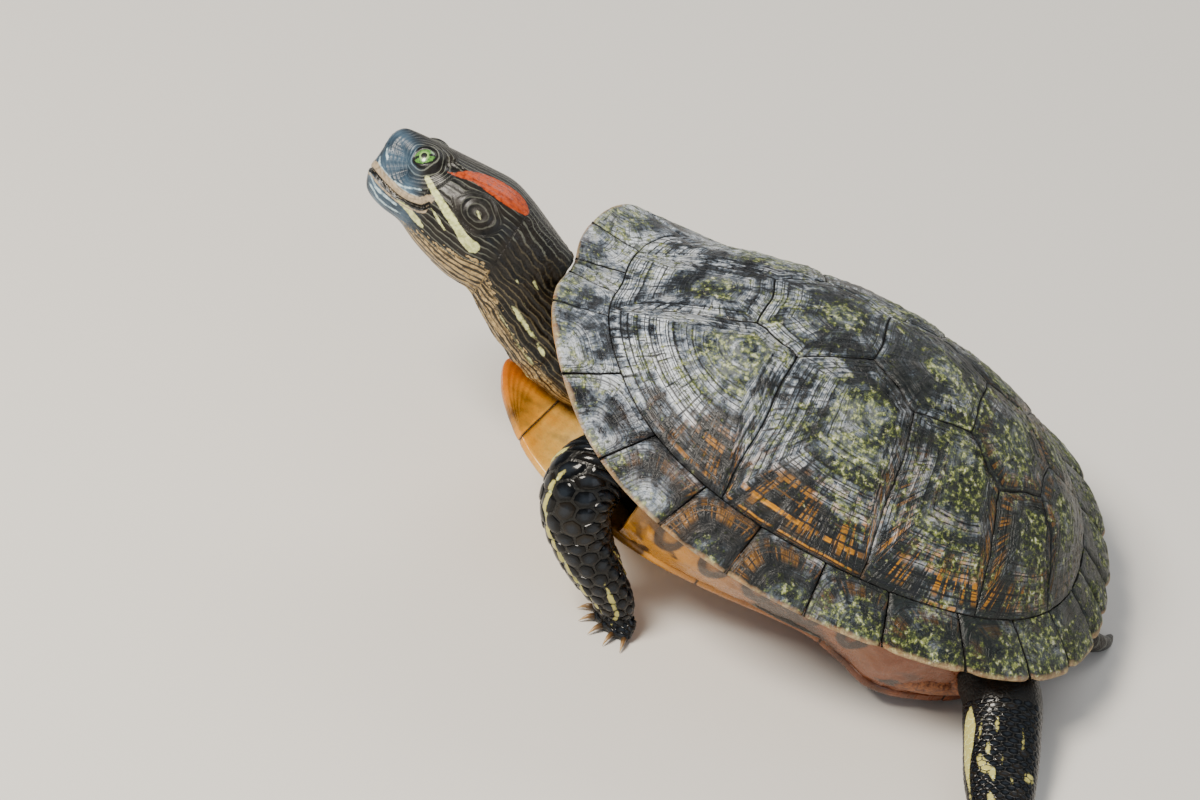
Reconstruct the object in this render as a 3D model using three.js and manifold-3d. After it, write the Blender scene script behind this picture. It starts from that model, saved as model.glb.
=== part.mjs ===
// Red-eared slider, adult female, life size, as a still model for a display.
// Millimetres, +Z up, head towards -X, the animal's left side towards -Y.
// The shell is drawn in its own frame, with the plastron on z = 0, and pitched head-up.
// Flesh is drawn in the standing frame, where the ground is z = 0, and is cut to fit the shell.
import * as THREE from "three";
import { mergeVertices } from "three/addons/utils/BufferGeometryUtils.js";
import Module from "manifold-3d";

const wasm = await Module();
wasm.setup();

// ---- driving dimensions ----

const gap = 0.3; // clearance between neighbouring pieces
const pitch = THREE.MathUtils.degToRad(15.5); // how far the shell is raised in front
const restPoint = new THREE.Vector3(95, 0, 2.607); // back of the plastron, which carries the rear

const shell = {
  halfLength: 115,
  halfWidth: 85.5,
  height: 94.8, // top of the dome above the plastron
  wall: 5,
  egg: -0.046, // narrower to the rear
  square: 0.053, // fuller at the four corners of the outline
  taper: -0.014,
  corner: 0.004,
  rimHeight: [36.6, 3.7, 6.5, -15], // height of the rim as powers of the place along the shell
  domePower: [1.7, -0.112, 0.25], // how the dome falls away: to the side, and towards each end
  domeEase: 0.15, // rounds the top of the dome
  domeFull: -0.066,
  lobes: [ // where the rim lifts and flares out: degrees round it, spread, lift, share outwards
    [153, 15, 7.5, 0.024], [50, 17, 2.5, 0.02],
  ],
  neckNotch: 0.026, // share of the radius taken off over the neck
  flareRear: 4.5, // hollow above the flared rear rim
  flareFront: 2.5,
  ringInner: 0.842, // where the marginals begin, as a share of the radius
  rimThickness: 3,
  ringThickness: 7,
  bridgeThickness: 9,
  seamDepth: 0.6, // grooves between the marginals
  rearNotch: 0.012, // small notches between the rear marginals
};

// Seams between the marginals, in degrees round the rim from the tail, the nuchal's first.
const rimSeams = [177.5, 164.3, 145.6, 129.5, 114.2, 100.3, 85.4, 71.3, 56, 41.2, 26.2, 10.6, 0];
const nuchalSpread = 2.5; // degrees that the nuchal widens from the rim inwards

// Corners that the big scutes share, in the dome's plan (-1 front to 1 rear, half width 1).
const seam = {
  neck: [-0.86, 0.195],
  v1: [-0.43, 0.16],
  c12: [-0.29, 0.27],
  v2: [-0.08, 0.16],
  c23: [0.1, 0.27],
  v3: [0.28, 0.18],
  c34: [0.44, 0.28],
  v4: [0.58, 0.1],
  c45: [0.67, 0.19],
  rim12: [-0.29, 1],
  rim23: [0.2, 1],
  rim34: [0.58, 1],
  rim45: [0.8, 0.54],
};

const plastron = {
  thickness: 5,
  rearLift: 3.3, // how far the hind edge curls up
  frontLift: 3.5,
  // Half outline from the front tip to the rear tip: place along, half width.
  outline: [
    [-114, 0], [-117.5, 8], [-112, 22], [-98, 38], [-84, 47], [-62, 54], [-38, 57], [-12, 55],
    [18, 51], [34, 55], [47, 60], [61, 55], [77, 44], [91, 29], [98.5, 13], [97.5, 0],
  ],
  // Seams across, front to rear: place on the midline and at the edge.
  seams: [[-92, -108], [-60, -66], [-20, -24], [28, 24], [64, 78]],
  names: ["gular", "humeral", "pectoral", "abdominal", "femoral", "anal"],
};

const colours = {
  carapace: 0x2f3437, marginal: 0x4a463b, plastron: 0xc98b35, bridge: 0xb98a3f,
  skin: 0x23281f, head: 0x2b3338, jaw: 0x77806f, eye: 0x8fae7c,
};

// ---- small tools ----

const rad = THREE.MathUtils.degToRad;
const { lerp, smoothstep, clamp } = THREE.MathUtils;

const pitched = new THREE.Group(); // the shell's frame
pitched.rotation.y = pitch;
pitched.position.copy(restPoint).negate().applyEuler(pitched.rotation);
pitched.updateMatrix();
const standing = new THREE.Group(); // the ground's frame

// A point of the shell's frame, seen from the ground's frame.
const body = (x, y, z) => new THREE.Vector3(x, y, z).applyMatrix4(pitched.matrix);

// A closed geometry as a solid, turned right side out where a warp has turned it over.
function toSolid(geometry) {
  const bare = geometry.clone();
  bare.deleteAttribute("normal");
  bare.deleteAttribute("uv");
  const merged = mergeVertices(bare, 1e-4);
  const solidOf = (triangles) => new wasm.Manifold(new wasm.Mesh({
    numProp: 3,
    vertProperties: new Float32Array(merged.attributes.position.array),
    triVerts: new Uint32Array(triangles),
  }));
  const solid = solidOf(merged.index.array);
  return solid.volume() < 0 ? solidOf(merged.index.array.toReversed()) : solid;
}

function toGeometry(solid) {
  const mesh = solid.getMesh();
  const geometry = new THREE.BufferGeometry();
  geometry.setAttribute("position", new THREE.BufferAttribute(mesh.vertProperties, 3));
  geometry.setIndex(new THREE.BufferAttribute(mesh.triVerts, 1));
  return geometry;
}

// Moves every corner of a geometry to where place(x, y, z) says.
function warp(geometry, place) {
  const at = geometry.attributes.position;
  for (let i = 0; i < at.count; i += 1) {
    const p = place(at.getX(i), at.getY(i), at.getZ(i));
    at.setXYZ(i, p.x, p.y, p.z);
  }
  return geometry;
}

const moved = (solid, matrix) => toSolid(toGeometry(solid).applyMatrix4(matrix));
const largest = (solid) => solid.decompose().sort((p, q) => q.volume() - p.volume())[0];
const joined = (solids) => solids.reduce((all, next) => all.add(next));

function addMesh(group, name, solid, colour, roughness = 0.65) {
  const material = new THREE.MeshStandardMaterial({
    color: colour, roughness, metalness: 0, flatShading: true,
  });
  const mesh = new THREE.Mesh(toGeometry(largest(solid)), material);
  mesh.name = name;
  group.add(mesh);
}

// Moves the edges of a plan outline out by d, or in where d is negative.
function offsetOutline(points, d) {
  const n = points.length;
  return points.map((p, i) => {
    const before = new THREE.Vector2().subVectors(p, points[(i + n - 1) % n]).normalize();
    const after = new THREE.Vector2().subVectors(points[(i + 1) % n], p).normalize();
    const out = new THREE.Vector2(before.y + after.y, -before.x - after.x);
    const reach = d / (1 + before.dot(after));
    return p.clone().addScaledVector(out, reach);
  });
}

function prism(points, depth) {
  const solid = new THREE.ExtrudeGeometry(new THREE.Shape(points), { depth, bevelEnabled: false });
  return toSolid(solid.translate(0, 0, -depth / 2));
}

// ---- carapace ----

const bell = (x, middle, spread) => Math.exp(-(((x - middle) / spread) ** 2));

// The outer surface over a place (a, b) of the dome's plan.
function carapacePoint(a, b) {
  const rho = Math.hypot(a, b);
  const phi = Math.atan2(b, a);
  const along = Math.cos(phi);
  const degrees = THREE.MathUtils.radToDeg(Math.abs(phi));
  const nearest = Math.min(...rimSeams.slice(7).map((s) => Math.abs(s - degrees)));
  const nick = shell.rearNotch * bell(nearest, 0, 1.6) * smoothstep(rho, 0.86, 1);
  const swell = shell.square * Math.sin(2 * phi) ** 2 + shell.taper * Math.cos(3 * phi)
    + shell.corner * Math.cos(4 * phi)
    + shell.lobes.reduce((sum, [at, spread, , out]) => sum + out * bell(degrees, at, spread), 0)
    - shell.neckNotch * bell(degrees, 180, 7) - nick;
  const g = 1 + rho ** 2 * swell;

  const c = along * Math.min(rho, 1);
  const rim = shell.rimHeight.reduce((sum, k, i) => sum + k * c ** i, 0)
    + shell.lobes.reduce((sum, [at, spread, lift]) => {
      return sum + lift * bell(degrees, at, spread) * rho ** 3;
    }, 0);
  const power = shell.domePower[0] + shell.domePower[1] * along + shell.domePower[2] * along ** 2;
  const ease = shell.domeEase;
  const fallAt = (r) => (r * r + ease * ease) ** (power / 2) - ease ** power;
  const fall = (1 - shell.domeFull) * (fallAt(rho) / fallAt(1)) + shell.domeFull * rho ** 4;
  const flare = shell.flareRear * Math.max(0, along) ** 1.5
    + shell.flareFront * Math.max(0, -along) ** 1.5;
  const hollow = flare * Math.sin(Math.PI * clamp((rho - 0.66) / 0.34, 0, 1)) ** 2;
  return new THREE.Vector3(
    shell.halfLength * a * g,
    shell.halfWidth * b * g * (1 + shell.egg * a),
    rim + (shell.height - rim) * (1 - fall) - hollow,
  );
}

// The point at a depth under that surface, square to it.
function carapaceInside(a, b, depth) {
  const step = 0.004;
  const p = carapacePoint(a, b);
  const across = carapacePoint(a, b + step).sub(carapacePoint(a, b - step));
  const down = carapacePoint(a + step, b).sub(carapacePoint(a - step, b));
  return p.addScaledVector(down.cross(across).normalize(), -depth);
}

// Stops round the rim, in degrees: each seam, a step either side of it, and between.
const seamEdge = 1.2;
const rimStops = rimSeams.slice(1).flatMap((end, i) => {
  const start = rimSeams[i];
  return [start, start - seamEdge, (start + end) / 2, end + seamEdge];
}).concat(0);

function discPrism(radius) {
  const round = [...rimStops.map((d) => -d), ...rimStops.slice(0, -1).reverse()];
  return prism(round.map((d) => {
    return new THREE.Vector2(Math.cos(rad(d)), Math.sin(rad(d))).multiplyScalar(radius);
  }), 3);
}

const planSheet = toSolid(new THREE.BoxGeometry(2.08, 2.08, 1, 14, 14, 1));

function domePiece(plan, outer, inner) {
  return toSolid(warp(toGeometry(plan), (a, b, w) => {
    return carapaceInside(a, b, lerp(inner, outer, w + 0.5));
  }));
}

const dome = domePiece(planSheet.intersect(discPrism(shell.ringInner - 0.002)), 0, shell.wall);

// A scute is what stands over its outline, which is drawn on the plan and carried to millimetres.
function addScute(name, corners) {
  const outline = corners.flatMap(([a, b], i) => {
    const [nextA, nextB] = corners[(i + 1) % corners.length];
    return [0, 0.25, 0.5, 0.75].map((t) => {
      const p = carapacePoint(lerp(a, nextA, t), lerp(b, nextB, t));
      return new THREE.Vector2(p.x, p.y);
    });
  });
  if (THREE.ShapeUtils.area(outline) < 0) outline.reverse();
  const column = prism(offsetOutline(outline, -gap / 2), 240);
  addMesh(pitched, name, dome.intersect(column), colours.carapace, 0.45);
}

const mirror = ([a, b]) => [a, -b];

function addVertebral(number, left) {
  addScute(`vertebral_${number}`, [...left.map(mirror), ...left.toReversed()]);
}

function addCostals(number, right) {
  addScute(`costal_right_${number}`, right);
  addScute(`costal_left_${number}`, right.map(mirror));
}

addVertebral(1, [[-1, 0.2], seam.neck, seam.v1]);
addVertebral(2, [seam.v1, seam.c12, seam.v2]);
addVertebral(3, [seam.v2, seam.c23, seam.v3]);
addVertebral(4, [seam.v3, seam.c34, seam.v4]);
addVertebral(5, [seam.v4, seam.c45, seam.rim45, [1, 0.8]]);
addCostals(1, [[-1, 0.2], seam.neck, seam.v1, seam.c12, seam.rim12, [-1, 1]]);
addCostals(2, [seam.c12, seam.v2, seam.c23, seam.rim23, seam.rim12]);
addCostals(3, [seam.c23, seam.v3, seam.c34, seam.rim34, seam.rim23]);
addCostals(4, [seam.c34, seam.v4, seam.c45, seam.rim45, [1, 0.8], [1, 1], seam.rim34]);

// How thick the ring of marginals is: thin at the rim, a wedge inside it, thickest by the bridge.
function ringDepth(u, degrees) {
  const bridge = Math.exp(-(((Math.abs(degrees) - 92) / 26) ** 4));
  const wedge = lerp(shell.ringThickness, shell.bridgeThickness, bridge);
  return u < 0.4
    ? lerp(shell.wall, wedge, u / 0.4)
    : lerp(wedge, shell.rimThickness, (u - 0.4) / 0.6);
}

// A point of the ring: u from its inner edge to the rim, v from its top to its underside.
function ringPoint(u, v, degrees, side, grow = 0) {
  const [first, second] = rimSeams;
  const share = degrees > first ? 0 : clamp((degrees - second) / (first - second), 0, 1);
  const turn = rad(degrees - share * nuchalSpread * (1 - u));
  const rho = lerp(shell.ringInner + 0.002 - grow / 100, 1 + grow / 100, u);
  const groove = grow === 0 && rimSeams.includes(degrees) ? shell.seamDepth : 0;
  const depth = lerp(groove - grow, ringDepth(u, degrees) + grow, v);
  return carapaceInside(rho * Math.cos(turn), side * rho * Math.sin(turn), depth);
}

function ringPiece(stops, side, grow = 0) {
  const last = stops.length - 1;
  return toSolid(warp(new THREE.BoxGeometry(1, 1, 1, 3, 1, last), (x, y, z) => {
    return ringPoint(x + 0.5, y + 0.5, stops[Math.round((z + 0.5) * last)], side, grow);
  }));
}

// The marginals of a side are joined in three runs: by the neck, along the bridge, and behind.
const halfGapDegrees = 0.09;
const runs = [["front", 0, 4], ["side", 4, 7], ["rear", 7, 12]];
for (const [name, side] of [["left", -1], ["right", 1]]) {
  for (const [place, first, last] of runs) {
    const [start, end] = [rimSeams[first], rimSeams[last]];
    const between = rimStops.filter((stop) => stop < start && stop > end);
    const stops = [start - halfGapDegrees, ...between, end + halfGapDegrees];
    addMesh(pitched, `marginals_${name}_${place}`, ringPiece(stops, side), colours.marginal);
  }
}

// The nuchal closes the ring over the neck.
function nuchalPoint(u, v, across) {
  const half = rimSeams[0] - nuchalSpread * (1 - u) + halfGapDegrees;
  const turn = rad(180 + across * 2 * (180 - half));
  const rho = lerp(shell.ringInner + 0.002, 1, u);
  return carapaceInside(rho * Math.cos(turn), -rho * Math.sin(turn), v * ringDepth(u, 180));
}
const nuchal = warp(new THREE.BoxGeometry(1, 1, 1, 3, 1, 2), (x, y, z) => {
  return nuchalPoint(x + 0.5, y + 0.5, z);
});
addMesh(pitched, "nuchal", toSolid(nuchal), colours.marginal, 0.5);

// ---- plastron and bridges ----

const halfOutline = plastron.outline.map(([x, y]) => new THREE.Vector2(x, y));
const sideCurve = new THREE.SplineCurve(halfOutline).getPoints(26);
const plastronOutline = [
  ...sideCurve, ...sideCurve.slice(1, -1).reverse().map((p) => new THREE.Vector2(p.x, -p.y)),
].reverse();

// How high the underside of the plastron is over its flat middle.
function plastronLift(x) {
  return plastron.rearLift * Math.max(0, (x - 70) / 30) ** 2
    + plastron.frontLift * Math.max(0, (-x - 84) / 33) ** 2;
}

function plastronPiece(plan, grow = 0) {
  return toSolid(warp(toGeometry(plan), (x, y, w) => {
    return new THREE.Vector3(x, y, plastronLift(x) + (w > 0 ? plastron.thickness + grow : -grow));
  }));
}

const plastronSheet = toSolid(new THREE.BoxGeometry(240, 140, 2, 30, 2, 1));
const plastronPlan = plastronSheet.intersect(prism(plastronOutline, 3));
// Everything below the ground, in the shell's frame.
const ground = moved(
  toSolid(new THREE.BoxGeometry(600, 600, 100).translate(0, 0, -50)),
  pitched.matrix.clone().invert(),
);

plastron.names.forEach((name, i) => {
  const [frontMid, frontEdge] = plastron.seams[i - 1] ?? [-130, -130];
  const [rearMid, rearEdge] = plastron.seams[i] ?? [110, 110];
  const plate = [
    [frontMid + gap / 2, 0], [frontEdge + gap / 2, 70], [rearEdge - gap / 2, 70],
    [rearMid - gap / 2, 0], [rearEdge - gap / 2, -70], [frontEdge + gap / 2, -70],
  ].map(([x, y]) => new THREE.Vector2(x, y)).reverse();
  const piece = plastronPiece(plastronPlan.intersect(prism(plate, 3))).subtract(ground);
  addMesh(pitched, `plastron_${name}`, piece, colours.plastron, 0.5);
});

// Half width of the plastron at a place along it.
function plastronHalf(x) {
  const i = sideCurve.findIndex((p, k) => k > 3 && p.x >= x);
  const [p, q] = [sideCurve[i - 1], sideCurve[i]];
  return lerp(p.y, q.y, (x - p.x) / (q.x - p.x));
}

// The bridge runs from the plastron's edge out and up to the underside of the marginals.
const bridge = { front: 121, rear: 63, bulge: 4, thickness: 5 };

function bridgePoint(along, out, v, side, grow = 0) {
  const spill = grow / 2;
  const degrees = lerp(bridge.front + spill, bridge.rear - spill, along);
  const top = ringPoint(0.55, 1, degrees, side);
  const edge = new THREE.Vector3(top.x, side * (plastronHalf(top.x) - 3), 0.4);
  const p = edge.lerp(top, out);
  const inward = lerp(-grow, bridge.thickness + grow, v);
  const outward = bridge.bulge * Math.sin(Math.PI * out);
  p.y += side * (outward * 0.8 - inward * 0.8);
  p.z += inward * 0.6 - outward * 0.6;
  return p;
}

function bridgePiece(side, grow = 0) {
  return toSolid(warp(new THREE.BoxGeometry(1, 1, 1, 5, 2, 1), (x, y, z) => {
    return bridgePoint(x + 0.5, y + 0.5, z + 0.5, side, grow);
  }));
}

const room = 0.45; // how far flesh and bridges stay from the shell's pieces
const allRound = [180, ...rimStops];
const ringMould = ringPiece(allRound, -1, room).add(ringPiece(allRound, 1, room));
const plastronMould = plastronPiece(
  plastronSheet.intersect(prism(offsetOutline(plastronOutline, room), 3)), room,
);
for (const [name, side] of [["left", -1], ["right", 1]]) {
  const piece = bridgePiece(side).subtract(ringMould).subtract(plastronMould);
  addMesh(pitched, `bridge_${name}`, piece, colours.bridge, 0.55);
}

const domeMould = domePiece(planSheet.intersect(discPrism(0.86)), -room, shell.wall + room);
const shellMould = moved(
  joined([ringMould, plastronMould, bridgePiece(-1, room), bridgePiece(1, room), domeMould]),
  pitched.matrix,
);

// ---- flesh ----

const floor = toSolid(new THREE.BoxGeometry(600, 600, 100).translate(0, 0, -50));
const fit = (solid, ...cutters) => {
  return largest([shellMould, floor, ...cutters].reduce((s, cutter) => s.subtract(cutter), solid));
};

// A tube through stations { at, wide, high }: half sizes across and up, rounded at both ends.
function tube(stations, { sides = 14, steps = 10, up = [0, 0, 1], round = 0.18, grow = 0 } = {}) {
  const path = new THREE.CatmullRomCurve3(stations.map((s) => s.at));
  const sizes = new THREE.CatmullRomCurve3(stations.map((s) => {
    return new THREE.Vector3(s.wide, s.high ?? s.wide, 0);
  }));
  const upward = new THREE.Vector3(...up);
  return toSolid(warp(new THREE.CylinderGeometry(1, 1, 1, sides, steps), (x, y, z) => {
    const t = y + 0.5;
    const tangent = path.getTangent(t);
    const across = new THREE.Vector3().crossVectors(tangent, upward).normalize();
    const over = new THREE.Vector3().crossVectors(across, tangent).normalize();
    const size = sizes.getPoint(t);
    const end = Math.min(t, 1 - t) / round;
    const close = end < 1 ? Math.sqrt(1 - (1 - end) ** 2) * 0.75 + 0.25 : 1;
    return path.getPoint(t)
      .addScaledVector(across, x * (size.x * close + grow))
      .addScaledVector(over, z * (size.y * close + grow))
      .addScaledVector(tangent, (t < 0.5 ? -1 : 1) * (end < 0.01 ? grow : 0));
  }));
}

// The trunk fills the shell and shows as the skin of the pockets.
function trunkSolid(grow) {
  const sheet = toSolid(new THREE.BoxGeometry(2.2, 2.2, 1, 7, 7, 1));
  const disc = toSolid(new THREE.CylinderGeometry(1, 1, 3, 20).rotateX(Math.PI / 2));
  const plan = sheet.intersect(disc.scale(0.79 + grow / 100));
  const solid = toSolid(warp(toGeometry(plan), (a, b, w) => {
    if (w > 0) return carapaceInside(a, b, shell.wall + 2 * gap - grow);
    const under = carapacePoint(a, b);
    const base = plastronLift(under.x) + plastron.thickness + 2 * gap - grow;
    return new THREE.Vector3(under.x * 0.93, under.y * 0.86, base);
  }));
  return moved(solid, pitched.matrix);
}
const trunk = fit(trunkSolid(0));
const trunkRoom = trunkSolid(gap);
addMesh(standing, "trunk", trunk, colours.skin, 0.7);

// Neck and head, with places along the shell's own axes. The head is rolled to its left side.
const neckStations = [
  { at: body(-80, 0, 24), wide: 22, high: 18 },
  { at: body(-98, 0, 25), wide: 21, high: 19 },
  { at: body(-114, -1, 33), wide: 18.5, high: 19 },
  { at: body(-129, -2, 42), wide: 17, high: 18 },
  { at: body(-146, -2, 49), wide: 15, high: 16 },
];

const headPlace = new THREE.Matrix4().makeRotationFromEuler(new THREE.Euler(
  rad(-25), rad(5), 0, "XYZ",
)).setPosition(-139, -1, 52.5).premultiply(pitched.matrix);

// Sections of the head: place ahead of its back, half width, height of the crown, depth of the jaw.
const headSections = [
  [-8, 13, 13, 16], [-1, 17, 16.8, 20.5], [8, 19.3, 17.6, 21.5], [17, 19, 16.4, 20],
  [26, 17, 15.2, 17.8], [34, 14.4, 15.6, 15.8], [40.5, 11.4, 15, 14.2], [46, 8.6, 13, 12.4],
  [50.2, 6, 9.6, 9.8], [51.8, 3.4, 6, 6.2],
];

function headSolid(grow = 0) {
  const columns = [0, 1, 2, 3].map((k) => {
    return new THREE.SplineCurve(headSections.map((row, i) => new THREE.Vector2(i, row[k])));
  });
  return toSolid(warp(new THREE.CylinderGeometry(1, 1, 1, 14, 12), (x, y, z) => {
    const [ahead, half, crown, jaw] = columns.map((curve) => curve.getPoint(0.5 - y).y);
    const squared = (v) => Math.sign(v) * Math.abs(v) ** 0.86;
    return new THREE.Vector3(
      -ahead,
      squared(x) * (half + grow),
      squared(z) * ((z > 0 ? crown : jaw) + grow),
    ).applyMatrix4(headPlace);
  }));
}

const eye = { ahead: 35.5, out: 8.7, up: 5.9, radius: 6.2 };

function eyeSolid(side, grow = 0) {
  return toSolid(new THREE.SphereGeometry(eye.radius + grow, 10, 6)
    .translate(-eye.ahead, side * eye.out, eye.up).applyMatrix4(headPlace));
}

// The mouth runs back from the tip of the snout and turns up at the corner of the jaw.
const mouth = { corner: 28.5, cornerDrop: 4.5, bend: 35, drop: 8 };
function jawRoom(grow = 0) {
  const room = new THREE.Shape([
    new THREE.Vector2(-mouth.corner + grow, -mouth.cornerDrop + grow),
    new THREE.Vector2(-mouth.corner + grow, -30),
    new THREE.Vector2(-60, -30),
    new THREE.Vector2(-60, -mouth.drop + grow),
    new THREE.Vector2(-mouth.bend, -mouth.drop + grow),
  ]);
  const solid = new THREE.ExtrudeGeometry(room, { depth: 60, bevelEnabled: false });
  return toSolid(solid.translate(0, 0, -30).rotateX(Math.PI / 2).applyMatrix4(headPlace));
}

const headWhole = headSolid().subtract(eyeSolid(-1, gap)).subtract(eyeSolid(1, gap));
addMesh(standing, "head", headWhole.subtract(jawRoom(gap)), colours.head, 0.5);
addMesh(standing, "jaw_lower", headWhole.intersect(jawRoom()), colours.jaw, 0.5);
addMesh(standing, "eye_left", eyeSolid(-1), colours.eye, 0.15);
addMesh(standing, "eye_right", eyeSolid(1), colours.eye, 0.15);
const neckWhole = tube(neckStations, { sides: 12, steps: 6 });
addMesh(standing, "neck", fit(neckWhole, trunkRoom, headSolid(gap)), colours.skin, 0.7);

// ---- legs and tail ----

const at = (x, y, z, wide, high) => ({ at: new THREE.Vector3(x, y, z), wide, high });

// Toes that spread from the end of the leg down to the ground, each with its claw, and their web.
const webThickness = 1.6;
function toeSolids(palm, { heading, fan, spread, toe, claw, thick, count, web }) {
  const solids = [];
  const edge = [];
  const across = new THREE.Vector3(-Math.sin(rad(heading)), Math.cos(rad(heading)), 0);
  const back = new THREE.Vector3(Math.cos(rad(heading)), Math.sin(rad(heading)), 0)
    .multiplyScalar(spread * 0.4);
  for (let i = 0; i < count; i += 1) {
    const share = i / (count - 1) - 0.5;
    const turn = rad(heading + fan * share);
    const out = new THREE.Vector3(Math.cos(turn), Math.sin(turn), 0);
    const root = palm.clone().addScaledVector(across, share * spread).sub(back);
    const tip = root.clone().addScaledVector(out, toe * (1 - share * share)).setZ(thick * 0.68);
    const knuckle = root.clone().lerp(tip, 0.5).setZ(lerp(root.z, tip.z, 0.4) + 0.5);
    const point = tip.clone().addScaledVector(out, claw).setZ(0.4);
    const arch = tip.clone().lerp(point, 0.5).setZ(tip.z * 0.8 + 0.6);
    solids.push(tube([
      { at: root, wide: thick }, { at: knuckle, wide: thick }, { at: tip, wide: thick * 0.75 },
      { at: arch, wide: thick * 0.36 }, { at: point, wide: 0.4 },
    ], { sides: 5, steps: 4, round: 0.02 }));
    edge.push(new THREE.Vector2(tip.x, tip.y).lerp(new THREE.Vector2(palm.x, palm.y), 1 - web));
  }
  const heel = new THREE.Vector2(across.x, across.y).multiplyScalar(spread / 2);
  const fanShape = [
    new THREE.Vector2(palm.x - back.x, palm.y - back.y).sub(heel), ...edge,
    new THREE.Vector2(palm.x - back.x, palm.y - back.y).add(heel),
  ];
  return [...solids, prism(fanShape, 2 * webThickness)];
}

// Cuts a whole leg into upper leg, lower leg and foot with thin cuts square to its path.
function addLeg(name, stations, foot, cuts, up) {
  const palm = stations.at(-1).at;
  const leg = [tube(stations, { sides: 9, steps: 7, up, round: 0.12 }), ...toeSolids(palm, foot)];
  let rest = fit(joined(leg), trunkRoom, neckWhole);
  const path = new THREE.CatmullRomCurve3(stations.map((s) => s.at));
  ["upper", "lower"].forEach((part, i) => {
    const along = path.getTangent(cuts[i]);
    const level = path.getPoint(cuts[i]).dot(along);
    const behind = rest.trimByPlane(along.clone().negate().toArray(), -level);
    addMesh(standing, `${name}_${part}`, behind, colours.skin);
    rest = rest.trimByPlane(along.toArray(), level + gap);
  });
  addMesh(standing, `${name}_foot`, rest, colours.skin);
}

const foreFoot = {
  fan: 80, spread: 10, toe: 7.5, claw: 6.5, thick: 2.9, count: 5, web: 0.6,
};
const hindFoot = {
  fan: 64, spread: 15, toe: 19, claw: 7.5, thick: 2.8, count: 5, web: 0.85,
};

for (const [name, side, back] of [["left", -1, 0], ["right", 1, 5]]) {
  addLeg(`foreleg_${name}`, [
    at(-143, side * 36, 64, 14, 14), at(-156, side * 55, 66, 14, 13),
    at(-160, side * 63, 57, 13.5, 11.5), at(-157 + back, side * 63, 43, 12.5, 10),
    at(-149 + back, side * 62, 28, 11.5, 8), at(-141.5 + back, side * 59.5, 16, 8.8, 6.5),
    at(-140 + back, side * 57, 7, 8.5, 5),
  ], { heading: 180 - side * 52, ...foreFoot }, [0.36, 0.8], [0.2, -side, 0.3]);
}
addLeg("hindleg_left", [
  at(-24, -30, 26, 15, 13), at(-4, -50, 22, 15, 13), at(2, -66, 15, 14.5, 11),
  at(6, -84, 9.5, 13.5, 9), at(10, -101, 6.5, 11, 6.6), at(14, -116, 4, 12, 4.2),
], { heading: 287, ...hindFoot }, [0.44, 0.78], [0, 0, 1]);
addLeg("hindleg_right", [
  at(-28, 30, 26, 15, 13), at(-12, 50, 22, 15, 13), at(-8, 64, 14, 14, 11),
  at(-15, 76, 9.5, 12.5, 9), at(-20, 86, 6.5, 11, 6.6), at(-21, 96, 4, 12, 4.2),
], { heading: 95, ...hindFoot }, [0.44, 0.78], [0, 0, 1]);

const tailWhole = tube([
  at(-10, 0, 18, 9, 9), at(5, 0, 13, 8, 8), at(16, 2, 9.5, 6.2, 6.2), at(24, 6, 6.5, 4.4, 4.4),
  at(29, 12, 2.8, 3, 3), at(31, 20, 1.1, 1.4, 1.4),
], { sides: 8, steps: 7, round: 0.1 });
addMesh(standing, "tail", fit(tailWhole, trunkRoom), colours.skin);

const model = new THREE.Group();
model.add(pitched, standing);
export default model;
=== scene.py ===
import math
import bpy
import numpy as np
from mathutils import Matrix, Vector
from mathutils.bvhtree import BVHTree


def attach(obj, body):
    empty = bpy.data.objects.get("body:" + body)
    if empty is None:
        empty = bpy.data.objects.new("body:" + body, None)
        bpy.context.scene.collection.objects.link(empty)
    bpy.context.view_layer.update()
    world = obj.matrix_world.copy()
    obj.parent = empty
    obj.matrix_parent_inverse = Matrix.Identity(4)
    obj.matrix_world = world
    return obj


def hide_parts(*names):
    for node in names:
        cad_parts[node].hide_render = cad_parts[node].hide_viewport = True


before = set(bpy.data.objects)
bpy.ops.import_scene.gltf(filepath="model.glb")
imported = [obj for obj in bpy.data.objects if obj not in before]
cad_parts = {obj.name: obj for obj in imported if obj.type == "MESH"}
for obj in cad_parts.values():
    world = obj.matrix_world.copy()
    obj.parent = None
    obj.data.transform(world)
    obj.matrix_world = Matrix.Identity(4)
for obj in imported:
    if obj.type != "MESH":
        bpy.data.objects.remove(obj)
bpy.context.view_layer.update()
mm = 0.001  # everything below is drawn in millimetres

# The shell has a frame of its own, pitched head-up about the back of the plastron.
pose = {"pitch": math.radians(15.5), "restPoint": (95, 0, 2.607)}


def turnY(angle):
    c, s = math.cos(angle), math.sin(angle)
    return np.array([[c, 0, s], [0, 1, 0], [-s, 0, c]])


def turnX(angle):
    c, s = math.cos(angle), math.sin(angle)
    return np.array([[1, 0, 0], [0, c, -s], [0, s, c]])


shellTurn = turnY(pose["pitch"])


def toGround(points):
    return (np.asarray(points, float) - pose["restPoint"]) @ shellTurn.T


def toShell(points):
    return np.asarray(points, float) @ shellTurn + pose["restPoint"]


# meshes are read and written as arrays, in mm

def pickOnly(piece):
    if bpy.context.object and bpy.context.object.mode != "OBJECT":
        bpy.ops.object.mode_set(mode="OBJECT")
    bpy.ops.object.select_all(action="DESELECT")
    piece.select_set(True)
    bpy.context.view_layer.objects.active = piece


def editMode(kind="VERT"):
    bpy.ops.object.mode_set(mode="EDIT")
    bpy.ops.mesh.select_mode(type=kind)


def readPoints(piece):
    flat = np.empty(len(piece.data.vertices) * 3, np.float32)
    piece.data.vertices.foreach_get("co", flat)
    return flat.reshape(-1, 3).astype(float) / mm


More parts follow.
